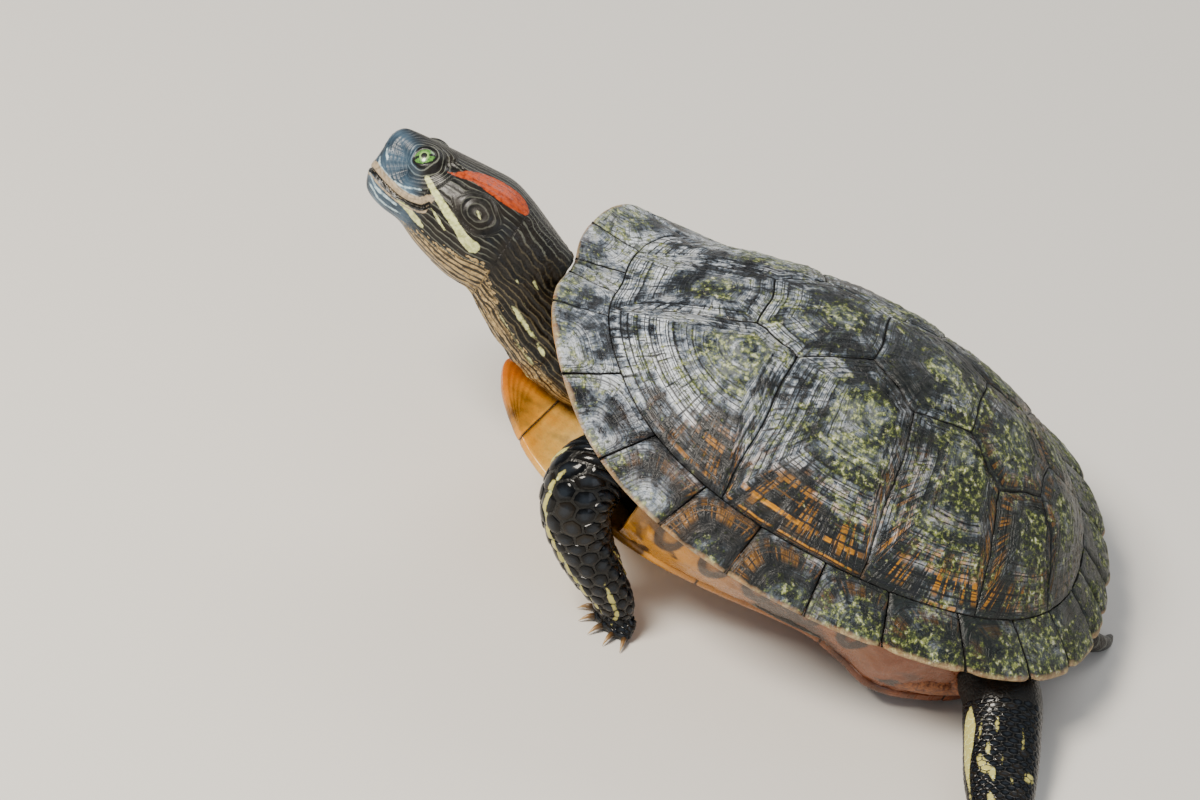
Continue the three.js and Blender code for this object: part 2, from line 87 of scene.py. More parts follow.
def writePoints(piece, points):
    piece.data.vertices.foreach_set("co", (points * mm).astype(np.float32).ravel())
    piece.data.update()


def readNormals(piece):
    flat = np.empty(len(piece.data.vertices) * 3, np.float32)
    piece.data.vertex_normals.foreach_get("vector", flat)
    return flat.reshape(-1, 3).astype(float)


def selectWhere(piece, wanted):
    piece.data.vertices.foreach_set("select", wanted)
    piece.data.edges.foreach_set("select", np.zeros(len(piece.data.edges), bool))
    piece.data.polygons.foreach_set("select", np.zeros(len(piece.data.polygons), bool))


def writeField(piece, name, values):
    values = np.asarray(values, np.float32)
    kind, key = ("FLOAT", "value") if values.ndim == 1 else ("FLOAT_VECTOR", "vector")
    field = piece.data.attributes.get(name) or piece.data.attributes.new(name, kind, "POINT")
    field.data.foreach_set(key, values.ravel())


def readField(piece, name):
    field = piece.data.attributes[name]
    wide = 3 if field.data_type == "FLOAT_VECTOR" else 1
    flat = np.empty(len(field.data) * wide, np.float32)
    field.data.foreach_get("vector" if wide == 3 else "value", flat)
    return flat.reshape(-1, 3).astype(float) if wide == 3 else flat.astype(float)


def addModifier(piece, kind, **settings):
    pickOnly(piece)
    modifier = piece.modifiers.new(kind, kind)
    for key, value in settings.items():
        setattr(modifier, key, value)
    bpy.ops.object.modifier_apply(modifier=modifier.name)


def dropMaps(piece):
    for layer in list(piece.data.uv_layers):
        piece.data.uv_layers.remove(layer)


# A grid primitive whose corners are moved to where place(i, j) says.
def warpedGrid(name, columns, rows, place):
    bpy.ops.object.select_all(action="DESELECT")
    bpy.ops.mesh.primitive_grid_add(x_subdivisions=columns, y_subdivisions=rows, size=1)
    piece = bpy.context.object
    piece.name = name
    flat = readPoints(piece) * mm + 0.5
    i = np.rint(flat[:, 0] * columns).astype(int)
    j = np.rint(flat[:, 1] * rows).astype(int)
    points, fields = place(i, j)
    writePoints(piece, points)
    for field, values in fields.items():
        writeField(piece, field, values)
    dropMaps(piece)
    return piece


def mergeDoubles(piece, distance=0.004):
    pickOnly(piece)
    editMode()
    bpy.ops.mesh.select_all(action="SELECT")
    bpy.ops.mesh.remove_doubles(threshold=distance * mm)
    bpy.ops.mesh.normals_make_consistent(inside=False)
    bpy.ops.object.mode_set(mode="OBJECT")


# Draws every open edge on through the given move and closes it at its middle.
def closeOpenEdges(piece, move):
    pickOnly(piece)
    editMode("EDGE")
    bpy.ops.mesh.select_all(action="DESELECT")
    bpy.ops.mesh.select_non_manifold(extend=False, use_wire=False, use_multi_face=False,
                                     use_non_contiguous=False, use_verts=False)
    bpy.ops.mesh.extrude_edges_move()
    bpy.ops.object.mode_set(mode="OBJECT")
    chosen = np.zeros(len(piece.data.vertices), bool)
    piece.data.vertices.foreach_get("select", chosen)
    points = readPoints(piece)
    points[chosen] = move(points[chosen])
    writePoints(piece, points)
    editMode("EDGE")
    bpy.ops.mesh.extrude_edges_move()
    bpy.ops.mesh.merge(type="COLLAPSE")
    bpy.ops.mesh.select_all(action="SELECT")
    bpy.ops.mesh.normals_make_consistent(inside=False)
    bpy.ops.object.mode_set(mode="OBJECT")


def joinPieces(pieces, name):
    bpy.ops.object.select_all(action="DESELECT")
    for piece in pieces:
        piece.select_set(True)
    bpy.context.view_layer.objects.active = pieces[0]
    bpy.ops.object.join()
    pieces[0].name = name
    return pieces[0]


def finishPiece(piece, material, nodes=(), smooth=40):
    pickOnly(piece)
    bpy.ops.object.shade_smooth_by_angle(angle=math.radians(smooth))
    piece.data.materials.clear()
    piece.data.materials.append(material)
    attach(piece, "root")
    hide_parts(*nodes)


# Seeded noise of a given size in mm: waves that run many ways, about -2 to 2 high.
def ripple(points, size, seed, count=14):
    chance = np.random.default_rng(seed)
    ways = chance.normal(size=(count, 3))
    often = chance.uniform(0.7, 1.6, count) * 2 * math.pi / size
    ways *= (often / np.linalg.norm(ways, axis=1))[:, None]
    starts = chance.uniform(0, 2 * math.pi, count)
    return np.sin(points @ ways.T + starts).sum(1) / math.sqrt(count)


def bell(x, middle, spread):
    return np.exp(-(((x - middle) / spread) ** 2))


def smoothstep(x, low, high):
    t = np.clip((x - low) / (high - low), 0, 1)
    return t * t * (3 - 2 * t)


def lerp(a, b, t):
    return a + (b - a) * t


def unit(vectors):
    return vectors / np.maximum(np.linalg.norm(vectors, axis=-1, keepdims=True), 1e-9)


# Even steps along a smooth curve through the given rows.
def smoothThrough(rows, count):
    rows = np.asarray(rows, float)
    padded = np.vstack([2 * rows[0] - rows[1], rows, 2 * rows[-1] - rows[-2]])
    at = np.linspace(0, len(rows) - 1, count)
    i = np.minimum(at.astype(int), len(rows) - 2)
    f = (at - i)[:, None]
    p0, p1, p2, p3 = padded[i], padded[i + 1], padded[i + 2], padded[i + 3]
    return 0.5 * (2 * p1 + (p2 - p0) * f + (2 * p0 - 5 * p1 + 4 * p2 - p3) * f ** 2
                  + (3 * p1 - p0 - 3 * p2 + p3) * f ** 3)


# shape of the shell

shell = {
    "halfLength": 115, "halfWidth": 85.5, "height": 94.8, "wall": 5,
    "egg": -0.046, "square": 0.053, "taper": -0.014, "corner": 0.004,
    "rimHeight": [36.6, 3.7, 6.5, -15], "domePower": [1.7, -0.112, 0.25],
    "domeEase": 0.15, "domeFull": -0.066,
    "lobes": [(153, 15, 7.5, 0.024), (50, 17, 2.5, 0.02)],  # degrees, spread, lift, share outwards
    "neckNotch": 0.026, "flareRear": 4.5, "flareFront": 2.5,
    "ringInner": 0.842, "rimThickness": 3, "ringThickness": 7, "bridgeThickness": 9,
    "rearNotch": 0.012, "nuchalSpread": 2.5,
    # seams between the marginals, in degrees round the rim from the tail
    "rimSeams": [177.5, 164.3, 145.6, 129.5, 114.2, 100.3, 85.4, 71.3, 56, 41.2, 26.2, 10.6, 0],
}


def carapacePoint(a, b):
    a, b = np.asarray(a, float), np.asarray(b, float)
    rho, phi = np.hypot(a, b), np.arctan2(b, a)
    along, degrees = np.cos(phi), np.degrees(np.abs(phi))
    nearest = np.min(np.abs(degrees[..., None] - np.array(shell["rimSeams"][7:])), axis=-1)
    nick = shell["rearNotch"] * bell(nearest, 0, 1.6) * smoothstep(rho, 0.86, 1)
    swell = (shell["square"] * np.sin(2 * phi) ** 2 + shell["taper"] * np.cos(3 * phi)
             + shell["corner"] * np.cos(4 * phi) - shell["neckNotch"] * bell(degrees, 180, 7) - nick)
    c = along * np.minimum(rho, 1)
    rim = sum(k * c ** i for i, k in enumerate(shell["rimHeight"]))
    for at, spread, lift, out in shell["lobes"]:
        swell = swell + out * bell(degrees, at, spread)
        rim = rim + lift * bell(degrees, at, spread) * rho ** 3
    power = sum(k * along ** i for i, k in enumerate(shell["domePower"]))
    ease, full = shell["domeEase"], shell["domeFull"]

    def fallAt(r):
        return (r * r + ease * ease) ** (power / 2) - ease ** power

    fall = (1 - full) * (fallAt(rho) / fallAt(1)) + full * rho ** 4
    flare = (shell["flareRear"] * np.maximum(0, along) ** 1.5
             + shell["flareFront"] * np.maximum(0, -along) ** 1.5)
    hollow = flare * np.sin(math.pi * np.clip((rho - 0.66) / 0.34, 0, 1)) ** 2
    g = 1 + rho ** 2 * swell
    return np.stack([
        shell["halfLength"] * a * g,
        shell["halfWidth"] * b * g * (1 + shell["egg"] * a),
        rim + (shell["height"] - rim) * (1 - fall) - hollow,
    ], -1)


def carapaceOut(a, b):
    step = 0.004
    across = carapacePoint(a, b + step) - carapacePoint(a, b - step)
    down = carapacePoint(a + step, b) - carapacePoint(a - step, b)
    return unit(np.cross(down, across))


def carapaceAt(a, b, lift):
    return carapacePoint(a, b) + carapaceOut(a, b) * np.asarray(lift)[..., None]


# colours and materials

def linear(hexText):
    parts = [int(hexText[i:i + 2], 16) / 255 for i in (1, 3, 5)]
    return tuple(p / 12.92 if p <= 0.04045 else ((p + 0.055) / 1.055) ** 2.4 for p in parts) + (1.0,)


# Links sockets to a node's inputs, or sets their values, by name or in the node's own order.
# A hex text is a colour.
def setInputs(tree, node, inputs):
    for name, value in inputs.items() if isinstance(inputs, dict) else enumerate(inputs):
        if isinstance(value, bpy.types.NodeSocket):
            tree.links.new(value, node.inputs[name])
        else:
            node.inputs[name].default_value = linear(value) if isinstance(value, str) else value


# Adds a node with its settings and links, and gives one of its outputs.
def addNode(tree, kind, inputs=(), output=0, stops=(), **settings):
    node = tree.nodes.new("ShaderNode" + kind)
    for key, value in settings.items():
        setattr(node, key, value)
    for k, (at, colour) in enumerate(stops):
        ramp = node.color_ramp.elements
        element = ramp[k] if k < 2 else ramp.new(at)
        element.position = at
        element.color = linear(colour)
    setInputs(tree, node, inputs)
    return node.outputs[output]


# A material that reads the piece's named fields.
def newMaterial(name, values=(), vectors=()):
    material = bpy.data.materials.new(name)
    material.use_nodes = True
    tree = material.node_tree
    read = {key: addNode(tree, "Attribute", (), "Vector" if key in vectors else "Fac",
                         attribute_name=key) for key in (*values, *vectors)}
    return material, tree, tree.nodes["Principled BSDF"], read


# Scute keratin: horn plates laid down ring by ring and worn dull by water and sun. To the eye it
# is slate black with fine crossing lines, a bluish bloom where it is worn, and algae in the pits.
# The front is painted paler as a sunlit sheen, and the top is painted darker as shade.
hornLook = {
    "dark": "#090b0e", "slate": "#20262e", "grey": "#6e7987", "bloomAndSheen": "#dae2eb",
    "brown": "#46341f", "stain": "#1c271f", "orange": "#cf8a0a", "algaeDark": "#12180a",
    "algae": "#3c4a1c", "algaeLight": "#8d9548", "crust": "#d3d2c2", "crack": "#060607",
    "rim": "#bfa47c", "rimOrange": "#a8784a", "under": "#b97f2e", "blotch": "#1c1611",
    # noises: grain in mm, detail and roughness
    "noises": {"broad": (26.316, 3, 0.5), "patch": (10.5263, 5, 0.65), "speck": (3.0303, 6, 0.75),
               "grit": (2.1739, 5, 0.7)},
    "ringCount": 17,  # fine growth lines to each 10 mm, coarser than real ones so that they show
    "bandShare": 0.17, "ringWobble": 1.6,
    # lines from the oldest part out: a sixth of their number, breaks to each 10 mm, detail
    "rays": {"fine": (24, 1.4, 2.5), "broad": (9, 1.1, 4), "bars": (15, 0.4, 1)},
    # how the marginals differ from the dome
    "onDome": {"lines": 1, "bandWear": 0.6, "rayWear": 0.5, "worn": (1.86, 2.28),
               "streaks": 0.92, "blazeStreaks": 0},
    "onRim": {"lines": 0.8, "bandWear": 0.4, "rayWear": 0.2, "worn": (1.63, 2.03),
              "streaks": 0.12, "blazeStreaks": 0.5},
    "relief": 0.0003, "gloss": 0.4,
}


def makeHorn(name, isRim):
    look = hornLook
    here = look["onRim" if isRim else "onDome"]
    material, tree, shader, read = newMaterial(
        name, ["ring", "seamAway", "blaze"] + ["rimAway", "under", "blot"] * isRim, ["growth"])
    ring, blaze, growth = read["ring"], read["blaze"], read["growth"]
    place = addNode(tree, "TexCoord", (), "Object")
    centimetres = addNode(tree, "SeparateXYZ", {"Vector": growth}, "Z")
    ahead = addNode(tree, "SeparateXYZ", {"Vector": place}, "X")
    height = addNode(tree, "SeparateXYZ", {"Vector": place}, "Z")
    broad, patch, speck, grit = [
        addNode(tree, "TexNoise", {"Vector": place, "Scale": 1 / (grain * mm), "Detail": detail,
                                   "Roughness": rough})
        for grain, detail, rough in look["noises"].values()]
    # growth lines round the oldest part, fine ones and broad bands
    wobble = addNode(tree, "Math", [patch, look["ringWobble"]], operation="MULTIPLY")
    ringAt = addNode(tree, "Math", [centimetres, look["ringCount"], wobble],
                     operation="MULTIPLY_ADD")
    ringFine, ringBands = [
        addNode(tree, "TexNoise", {"W": ringAt, "Scale": scale, "Detail": detail},
                noise_dimensions="1D")
        for scale, detail in ((1, 2.5), (look["bandShare"], 2))]
    # lines that run out from the oldest part, broken along their length
    rays = {}
    for key, (count, breaks, detail) in look["rays"].items():
        drawn = addNode(tree, "VectorMath", [growth, (count, count, breaks)], operation="MULTIPLY")
        rays[key] = addNode(tree, "TexNoise", {"Vector": drawn, "Scale": 1, "Detail": detail})

    # masks: what each reads, from where to where, and its strengths there if not 0 and 1
    masks = {
        "rings": (ringFine, 0.52, 0.38), "rays": (rays["fine"], 0.47, 0.37),
        "outer": (ring, 0.34, 0.6), "ringZone": (ring, 0.15, 0.4, 0.35, 1),
        # painted light: the front is painted paler as a sunlit sheen, and the top painted darker as
        # shade
        "front": (ahead, -0.02, -0.15, 0, 0.17), "top": (height, 0.11, 0.135, 0, -0.14),
        "brown": (patch, 0.54, 0.7, 0, 0.5),
        "stain": (ahead, -0.12, 0, 0, 0.55),  # a dark green stain towards the rear
        "low": (height, 0.1, 0.06), "sparse": (ahead, 0.005, -0.035, 0.15, 1),
        "arcs": (ringBands, 0.53, 0.57), "arcZone": (broad, 0.46, 0.52),
        "bars": (rays["bars"], 0.53, 0.58), "barZone": (ring, 0.66, 0.76),
        "barEnd": (ring, 0.95, 0.88),
        # crust lies on the oldest part, or at the outer edge of the rim, and towards the rear
        "heart": (read["rimAway"], 11, 4, 0, 0.15) if isRim else (ring, 0.5, 0.2, 0, 0.29),
        "rear": (ahead, -0.2, 0, 0, 0.07),
        "crack": (read["seamAway"], 0.5, 0.12),
        "rough": (speck, 0.3, 0.7, 0.22, 0.46),
    }
    if isRim:
        masks["rimReach"] = (ahead, -0.13, 0, 0.5, 0.1)
        masks["under"] = (read["under"], 0.35, 0.6)
    mask = {key: addNode(tree, "MapRange", values) for key, values in masks.items()}

    lines = addNode(tree, "Math", [mask["rings"], mask["ringZone"]], operation="MULTIPLY")
    rayLines = addNode(tree, "Math", [mask["rays"], mask["outer"]], operation="MULTIPLY")
    lines = addNode(tree, "Math", [lines, rayLines], operation="MAXIMUM")
    lines = addNode(tree, "Math", [lines, here["lines"]], operation="MULTIPLY")
    lineShade = addNode(tree, "Math", [lines, 0.94], operation="MULTIPLY")

    # wear shows in bands and streaks, and not on the dark horn of the flanks; the painted sheen of
    # the front and the painted shade of the top are added in with it
    wearAndPaintedLight = broad
    rayWear = addNode(tree, "MixRGB", [mask["outer"], (0.55, 0.55, 0.55, 1), rays["broad"]])
    for part, strength in ((ringBands, here["bandWear"]), (patch, 1), (speck, 0.9),
                           (rayWear, here["rayWear"]), (mask["front"], 1), (mask["top"], 1),
                           (blaze, -0.5)):
        wearAndPaintedLight = addNode(tree, "Math", [part, strength, wearAndPaintedLight], operation="MULTIPLY_ADD")
    wearAndPaintedLight = addNode(tree, "MapRange", [wearAndPaintedLight, *here["worn"]])

    # orange streaks: arcs along the growth lines and short bars across them, low on the flanks
    low = addNode(tree, "Math", [mask["low"], mask["sparse"]], operation="MULTIPLY")
    arcZone = addNode(tree, "Math", [mask["arcZone"], low], operation="MULTIPLY")
    arcZone = addNode(tree, "Math", [arcZone, blaze], operation="MAXIMUM")
    breaks = addNode(tree, "Math", [blaze, 0.12, rays["broad"]], operation="MULTIPLY_ADD")
    breaks = addNode(tree, "MapRange", [breaks, 0.45, 0.55])
    arcs = addNode(tree, "Math", [mask["arcs"], arcZone], operation="MULTIPLY")
    arcs = addNode(tree, "Math", [arcs, breaks], operation="MULTIPLY")
    bars = mask["bars"]
    for zone in (mask["barZone"], mask["barEnd"], low):
        bars = addNode(tree, "Math", [bars, zone], operation="MULTIPLY")
    streakShare = addNode(tree, "Math", [blaze, here["blazeStreaks"], here["streaks"]],
                          operation="MULTIPLY_ADD")
    streak = addNode(tree, "Math", [arcs, bars], operation="MAXIMUM")
    for zone in (mask["outer"], streakShare):
        streak = addNode(tree, "Math", [streak, zone], operation="MULTIPLY")

    # algae and lime: a crust broken into specks
    crust = broad
    for part, strength in ((mask["heart"], 1), (mask["rear"], 1), (blaze, -0.3)):
        crust = addNode(tree, "Math", [part, strength, crust], operation="MULTIPLY_ADD")
    crust = addNode(tree, "MapRange", [crust, 0.43, 0.72])
    cut = addNode(tree, "MapRange", [crust, 0, 1, 0.62, 0.45])
    algae = addNode(tree, "Math", [speck, cut], operation="SUBTRACT")
    algae = addNode(tree, "MapRange", [algae, -0.03, 0.05])
    algaeShare = addNode(tree, "Math", [algae, 0.85], operation="MULTIPLY")
    algaeTone = addNode(tree, "ValToRGB", {"Fac": grit}, stops=[
        (0.44, look["algaeDark"]), (0.51, look["algae"]), (0.58, look["algaeLight"]),
        (0.67, look["crust"])])

    coats = [(mask["brown"], look["brown"]), (mask["stain"], look["stain"]),
             (streak, look["orange"]), (lineShade, look["dark"]), (algaeShare, algaeTone)]
    if isRim:
        # the pale band of the rim is a line in front and broader at the rear
        rimEdge = addNode(tree, "Math", [patch, 3.2, read["rimAway"]], operation="MULTIPLY_ADD")
        rimEdge = addNode(tree, "Math", [rimEdge, mask["rimReach"]], operation="ADD")
        rimShare = addNode(tree, "MapRange", [rimEdge, 3.2, 1.9, 0, 0.8])
        rimTone = addNode(tree, "ValToRGB", {"Fac": speck}, stops=[
            (0.35, look["rimOrange"]), (0.55, look["rim"])])
        # below, each marginal is amber with a dark blotch
        blot = addNode(tree, "Math", [patch, 0.9, read["blot"]], operation="MULTIPLY_ADD")
        blot = addNode(tree, "MapRange", [blot, 0.5, 0.62])
        underTone = addNode(tree, "ValToRGB", {"Fac": speck}, stops=[
            (0.3, look["rimOrange"]), (0.5, look["under"]), (0.7, look["rim"])])
        underTone = addNode(tree, "MixRGB", [blot, underTone, look["blotch"]])
        coats += [(rimShare, rimTone), (mask["under"], underTone)]
    # the palest stop is the bluish bloom of worn horn and also the painted sunlit sheen of the front
    colour = addNode(tree, "ValToRGB", {"Fac": wearAndPaintedLight}, stops=[
        (0, look["dark"]), (0.36, look["slate"]), (0.62, look["grey"]), (0.92, look["bloomAndSheen"])])
    for share, tone in coats + [(mask["crack"], look["crack"])]:
        colour = addNode(tree, "MixRGB", [share, colour, tone])

    rough = addNode(tree, "Math", [algae, 0.35, mask["rough"]], operation="MULTIPLY_ADD")
    # relief: lines are cut in, algae and crust stand up
    relief = addNode(tree, "Math", [lines, -0.7], operation="MULTIPLY")
    for part, strength in ((speck, 1.2), (algae, 0.7)):
        relief = addNode(tree, "Math", [part, strength, relief], operation="MULTIPLY_ADD")
    bump = addNode(tree, "Bump", {"Height": relief, "Distance": look["relief"], "Strength": 0.85})
    setInputs(tree, shader, {"Base Color": colour, "Roughness": rough, "Normal": bump,
                             "Specular IOR Level": look["gloss"]})
    return material


# Plastron keratin: thin smooth horn, rubbed by the ground. Yellow-orange with dark smudges that
# follow the growth lines, deeper orange in front, reddish where the rear rubs.
bellyLook = {
    "orange": "#b4600c", "amber": "#cf8d25", "yellow": "#d8ad58", "cream": "#d9c592",
    "tan": "#9a6532", "red": "#7c4527", "blotch": "#20150e", "line": "#5c3514",
    "cloud": 22.222, "grain": 1.42857, "smudge": 19.2308,  # grain of the noises in mm
    "ringCount": 26, "relief": 0.00015,
    "flesh": {"Subsurface Weight": 0.12, "Subsurface Scale": 0.002,
              "Subsurface Radius": (1, 0.5, 0.2)},  # light sinks in and comes out reddish
}


def makeBellyHorn(name):
    look = bellyLook
    material, tree, shader, read = newMaterial(name, ["seamAway", "ring", "blot"], ["home"])
    home = read["home"]  # the place in the shell's own frame, in units of 100 mm
    ahead = addNode(tree, "SeparateXYZ", {"Vector": home}, "X")
    cloud, grain = [
        addNode(tree, "TexNoise", {"Vector": home, "Scale": 100 / look[key], "Detail": 4})
        for key in ("cloud", "grain")]
    smudge = addNode(tree, "TexNoise", {"Vector": home, "Scale": 100 / look["smudge"],
                                        "Detail": 3, "Roughness": 0.45, "Distortion": 0.4})
    ringAt = addNode(tree, "Math", [read["ring"], look["ringCount"]], operation="MULTIPLY")
    rings = addNode(tree, "TexNoise", {"W": ringAt}, noise_dimensions="1D")
    blot = addNode(tree, "Math", [cloud, 0.7, read["blot"]], operation="MULTIPLY_ADD")
    # masks: what each reads, from where to where, and its strengths there if not 0 and 1
    mask = {key: addNode(tree, "MapRange", values) for key, values in {
        "along": (ahead, -1.2, 1), "dirt": (grain, 0.5, 0.85, 0, 0.35),
        "rings": (rings, 0.56, 0.7), "rear": (ahead, -0.4, 0.3, 0, 0.35),
        "smudge": (smudge, 0.56, 0.61, 0, 0.9), "back": (ahead, -0.75, -0.45),
        # the blotches of the bridge are dark rings round a lighter middle
        "blotRing": (blot, 0.38, 0.5), "blotHeart": (blot, 0.85, 1.05, 0.92, 0.35),
        "crack": (read["seamAway"], 0.6, 0.1, 0, 0.8), "rough": (grain, 0.3, 0.7, 0.2, 0.4),
    }.items()}
    tone = addNode(tree, "Math", [cloud, 0.2, mask["along"]], operation="MULTIPLY_ADD")
    colour = addNode(tree, "ValToRGB", {"Fac": tone}, stops=[
        (0.12, look["orange"]), (0.2, look["amber"]), (0.26, look["yellow"]),
        (0.33, look["cream"]), (0.41, look["amber"]), (0.6, look["tan"]), (0.85, look["red"])])
    ringDirt, smudge, blotches = [
        addNode(tree, "Math", [mask[first], mask[second]], operation="MULTIPLY")
        for first, second in (("rings", "rear"), ("smudge", "back"), ("blotRing", "blotHeart"))]
    smudge = addNode(tree, "Math", [smudge, blotches], operation="MAXIMUM")
    for share, tone in ((mask["dirt"], look["line"]), (ringDirt, look["line"]),
                        (smudge, look["blotch"]), (mask["crack"], look["blotch"])):
        colour = addNode(tree, "MixRGB", [share, colour, tone])
    relief = addNode(tree, "Math", [rings, 0.3, grain], operation="MULTIPLY_ADD")
    bump = addNode(tree, "Bump", {"Height": relief, "Distance": look["relief"], "Strength": 0.25})
    setInputs(tree, shader, {"Base Color": colour, "Roughness": mask["rough"], "Normal": bump,
                             **look["flesh"]})
    return material


# Reptile skin: small dry scales, glossy where stretched. Black-brown with fine pale lines, pale
# yellow stripes, a red patch behind the eye and a blue-grey snout.
skinLook = {
    "dark": "#090a09", "brown": "#1d1812", "line": "#84877a", "neckLine": "#8c8160",
    "snoutDark": "#22303d", "snout": "#42586b", "snoutPale": "#7f97a6", "snoutLine": "#b3cdd6",
    "pale": "#d6d99a", "paleDark": "#a7ad6c", "tan": "#b89d6c", "tanDark": "#6d5a3c",
    "red": "#b04206", "redDark": "#7a2a08", "beak": "#a8977c", "beakDark": "#7d705c",
    "fold": "#99603b", "foldDark": "#5a2f1d",
    "lineStep": 2,  # mm from one fine line to the next
    # mm: grain of the noises and size of the small scales, drawn coarser so that they show
    "fine": 1.42857, "cloud": 7.6923, "scales": 1.5625,
    "relief": 0.00016, "gloss": 0.35,
}


def makeSkin(name):
    look = skinLook
    material, tree, shader, read = newMaterial(name, [
        "pale", "red", "beak", "dark", "flow", "snout", "snoutLine", "tan", "faint", "legs",
        "onNeck", "groin", "scaly"])
    place = addNode(tree, "TexCoord", (), "Object")
    fine = addNode(tree, "TexNoise", {"Vector": place, "Scale": 1 / (look["fine"] * mm),
                                      "Detail": 4, "Roughness": 0.6})
    cloud = addNode(tree, "TexNoise", {"Vector": place, "Scale": 1 / (look["cloud"] * mm),
                                       "Detail": 4})
    scales = addNode(tree, "TexVoronoi", {"Vector": place, "Scale": 1 / (look["scales"] * mm)},
                     "Distance", feature="DISTANCE_TO_EDGE")
    # fine pale lines that flow round the eye and the ear and back along the neck
    phase = addNode(tree, "Math", [cloud, 2.2, read["flow"]], operation="MULTIPLY_ADD")
    wave = addNode(tree, "Math", [phase, 2 * math.pi / look["lineStep"]], operation="MULTIPLY")
    wave = addNode(tree, "Math", [wave], operation="SINE")
    broken = addNode(tree, "Math", [fine, 0.6, wave], operation="MULTIPLY_ADD")
    edge = addNode(tree, "Math", [fine, 0.9, -0.45], operation="MULTIPLY_ADD")
    ragged = addNode(tree, "Math", [fine, 7, -3.5], operation="MULTIPLY_ADD")
    bands = addNode(tree, "Math", [wave, -1.2, ragged], operation="MULTIPLY_ADD")
    # masks: what each reads, from where to where, and its strengths there if not 0 and 1
    mask = {key: addNode(tree, "MapRange", values) for key, values in {
        "lines": (broken, 0.9, 1.25, 0, 0.6), "offLegs": (read["legs"], 0, 1, 1, 0),
        "black": (read["legs"], 0, 1, 0, 0.75), "grain": (fine, 0.35, 0.58),
        "wrinkles": (wave, 0.1, -0.45, 0, 0.93), "onTan": (read["tan"], -1, 1),
        "creases": (scales, 0, 0.09, 0.3, 0), "rough": (fine, 0.3, 0.7, 0.26, 0.48),
        "relief": (scales, 0, 0.2),
    }.items()}
    lines = mask["lines"]
    for zone in (read["faint"], mask["offLegs"]):
        lines = addNode(tree, "Math", [lines, zone], operation="MULTIPLY")
    lineTone = look["line"]
    for share, tone in ((read["snout"], look["snoutPale"]), (read["onNeck"], look["neckLine"])):
        lineTone = addNode(tree, "MixRGB", [share, lineTone, tone])
    snoutTone = addNode(tree, "ValToRGB", {"Fac": cloud}, stops=[
        (0.35, look["snoutDark"]), (0.6, look["snout"]), (0.8, look["snoutPale"])])
    coats = [(mask["black"], look["dark"]), (read["snout"], snoutTone), (lines, lineTone)]
    # the markings, each of them darker in its grain
    for key, wander, low, high in (
            ("groin", edge, "foldDark", "fold"), ("tan", bands, "tanDark", "tan"),
            ("snoutLine", edge, "snoutPale", "snoutLine"), ("pale", edge, "paleDark", "pale"),
            ("red", edge, "redDark", "red"), ("beak", edge, "beakDark", "beak"),
            ("dark", edge, "dark", "dark")):
        share = addNode(tree, "Math", [read[key], wander], operation="ADD")
        share = addNode(tree, "MapRange", [share, -0.12, 0.22])
        tone = addNode(tree, "MixRGB", [mask["grain"], look[low], look[high]])
        coats.append((share, tone))
    # dark wrinkles across the tan of the throat and neck, and creases between the scales
    for first, second in ((mask["wrinkles"], mask["onTan"]), (mask["creases"], read["scaly"])):
        share = addNode(tree, "Math", [first, second], operation="MULTIPLY")
        coats.append((share, look["dark"]))
    colour = addNode(tree, "ValToRGB", {"Fac": cloud}, stops=[
        (0.35, look["dark"]), (0.65, look["brown"])])
    for share, tone in coats:
        colour = addNode(tree, "MixRGB", [share, colour, tone])
    relief = addNode(tree, "Math", [mask["relief"], read["scaly"]], operation="MULTIPLY")
    for part, strength in ((fine, 0.2), (wave, 0.45)):
        relief = addNode(tree, "Math", [part, strength, relief], operation="MULTIPLY_ADD")
    bump = addNode(tree, "Bump", {"Height": relief, "Distance": look["relief"], "Strength": 0.5})
    setInputs(tree, shader, {"Base Color": colour, "Roughness": mask["rough"], "Normal": bump,
                             "Specular IOR Level": look["gloss"]})
    return material


# A living eye: clear wet cornea over a pale green iris with a black bar through the round pupil.
eyeLook = {
    "iris": "#2c5a1e", "irisLight": "#639a40", "ring": "#a9cf78", "dark": "#050604",
    "pupil": 0.18, "bar": 0.15, "irisEdge": 0.54,  # shares of the ball's radius
    "roughness": 0.3, "corneaRoughness": 0.02, "corneaIOR": 1.38,
}


def makeEyeMaterial(name):
    look = eyeLook
    material, tree, shader, read = newMaterial(name, vectors=["gaze"])
    gaze = read["gaze"]
    flat = addNode(tree, "VectorMath", [gaze, (1, 1, 0)], operation="MULTIPLY")
    away = addNode(tree, "VectorMath", [flat], "Value", operation="LENGTH")
    noise = addNode(tree, "TexNoise", {"Vector": gaze, "Scale": 14, "Detail": 4})
    tall = addNode(tree, "SeparateXYZ", {"Vector": gaze}, "Y")
    tall = addNode(tree, "Math", [tall], operation="ABSOLUTE")
    tall = addNode(tree, "Math", [noise, 0.12, tall], operation="MULTIPLY_ADD")
    ring, bar, outside, pupil, rim = [addNode(tree, "MapRange", values) for values in (
        (away, 0.2, 0.3, 0.6, 0), (tall, look["bar"], look["bar"] - 0.03), (away, 0.24, 0.28),
        (away, look["pupil"], look["pupil"] - 0.02),
        (away, look["irisEdge"], look["irisEdge"] + 0.12))]
    dark = addNode(tree, "Math", [bar, outside], operation="MULTIPLY")
    for part in (pupil, rim):
        dark = addNode(tree, "Math", [dark, part], operation="MAXIMUM")
    colour = addNode(tree, "ValToRGB", {"Fac": noise}, stops=[
        (0.35, look["iris"]), (0.65, look["irisLight"])])
    for share, tone in ((ring, look["ring"]), (dark, look["dark"])):
        colour = addNode(tree, "MixRGB", [share, colour, tone])
    setInputs(tree, shader, {
        "Base Color": colour, "Roughness": look["roughness"], "Coat Weight": 1,
        "Coat Roughness": look["corneaRoughness"], "Coat IOR": look["corneaIOR"]})
    return material


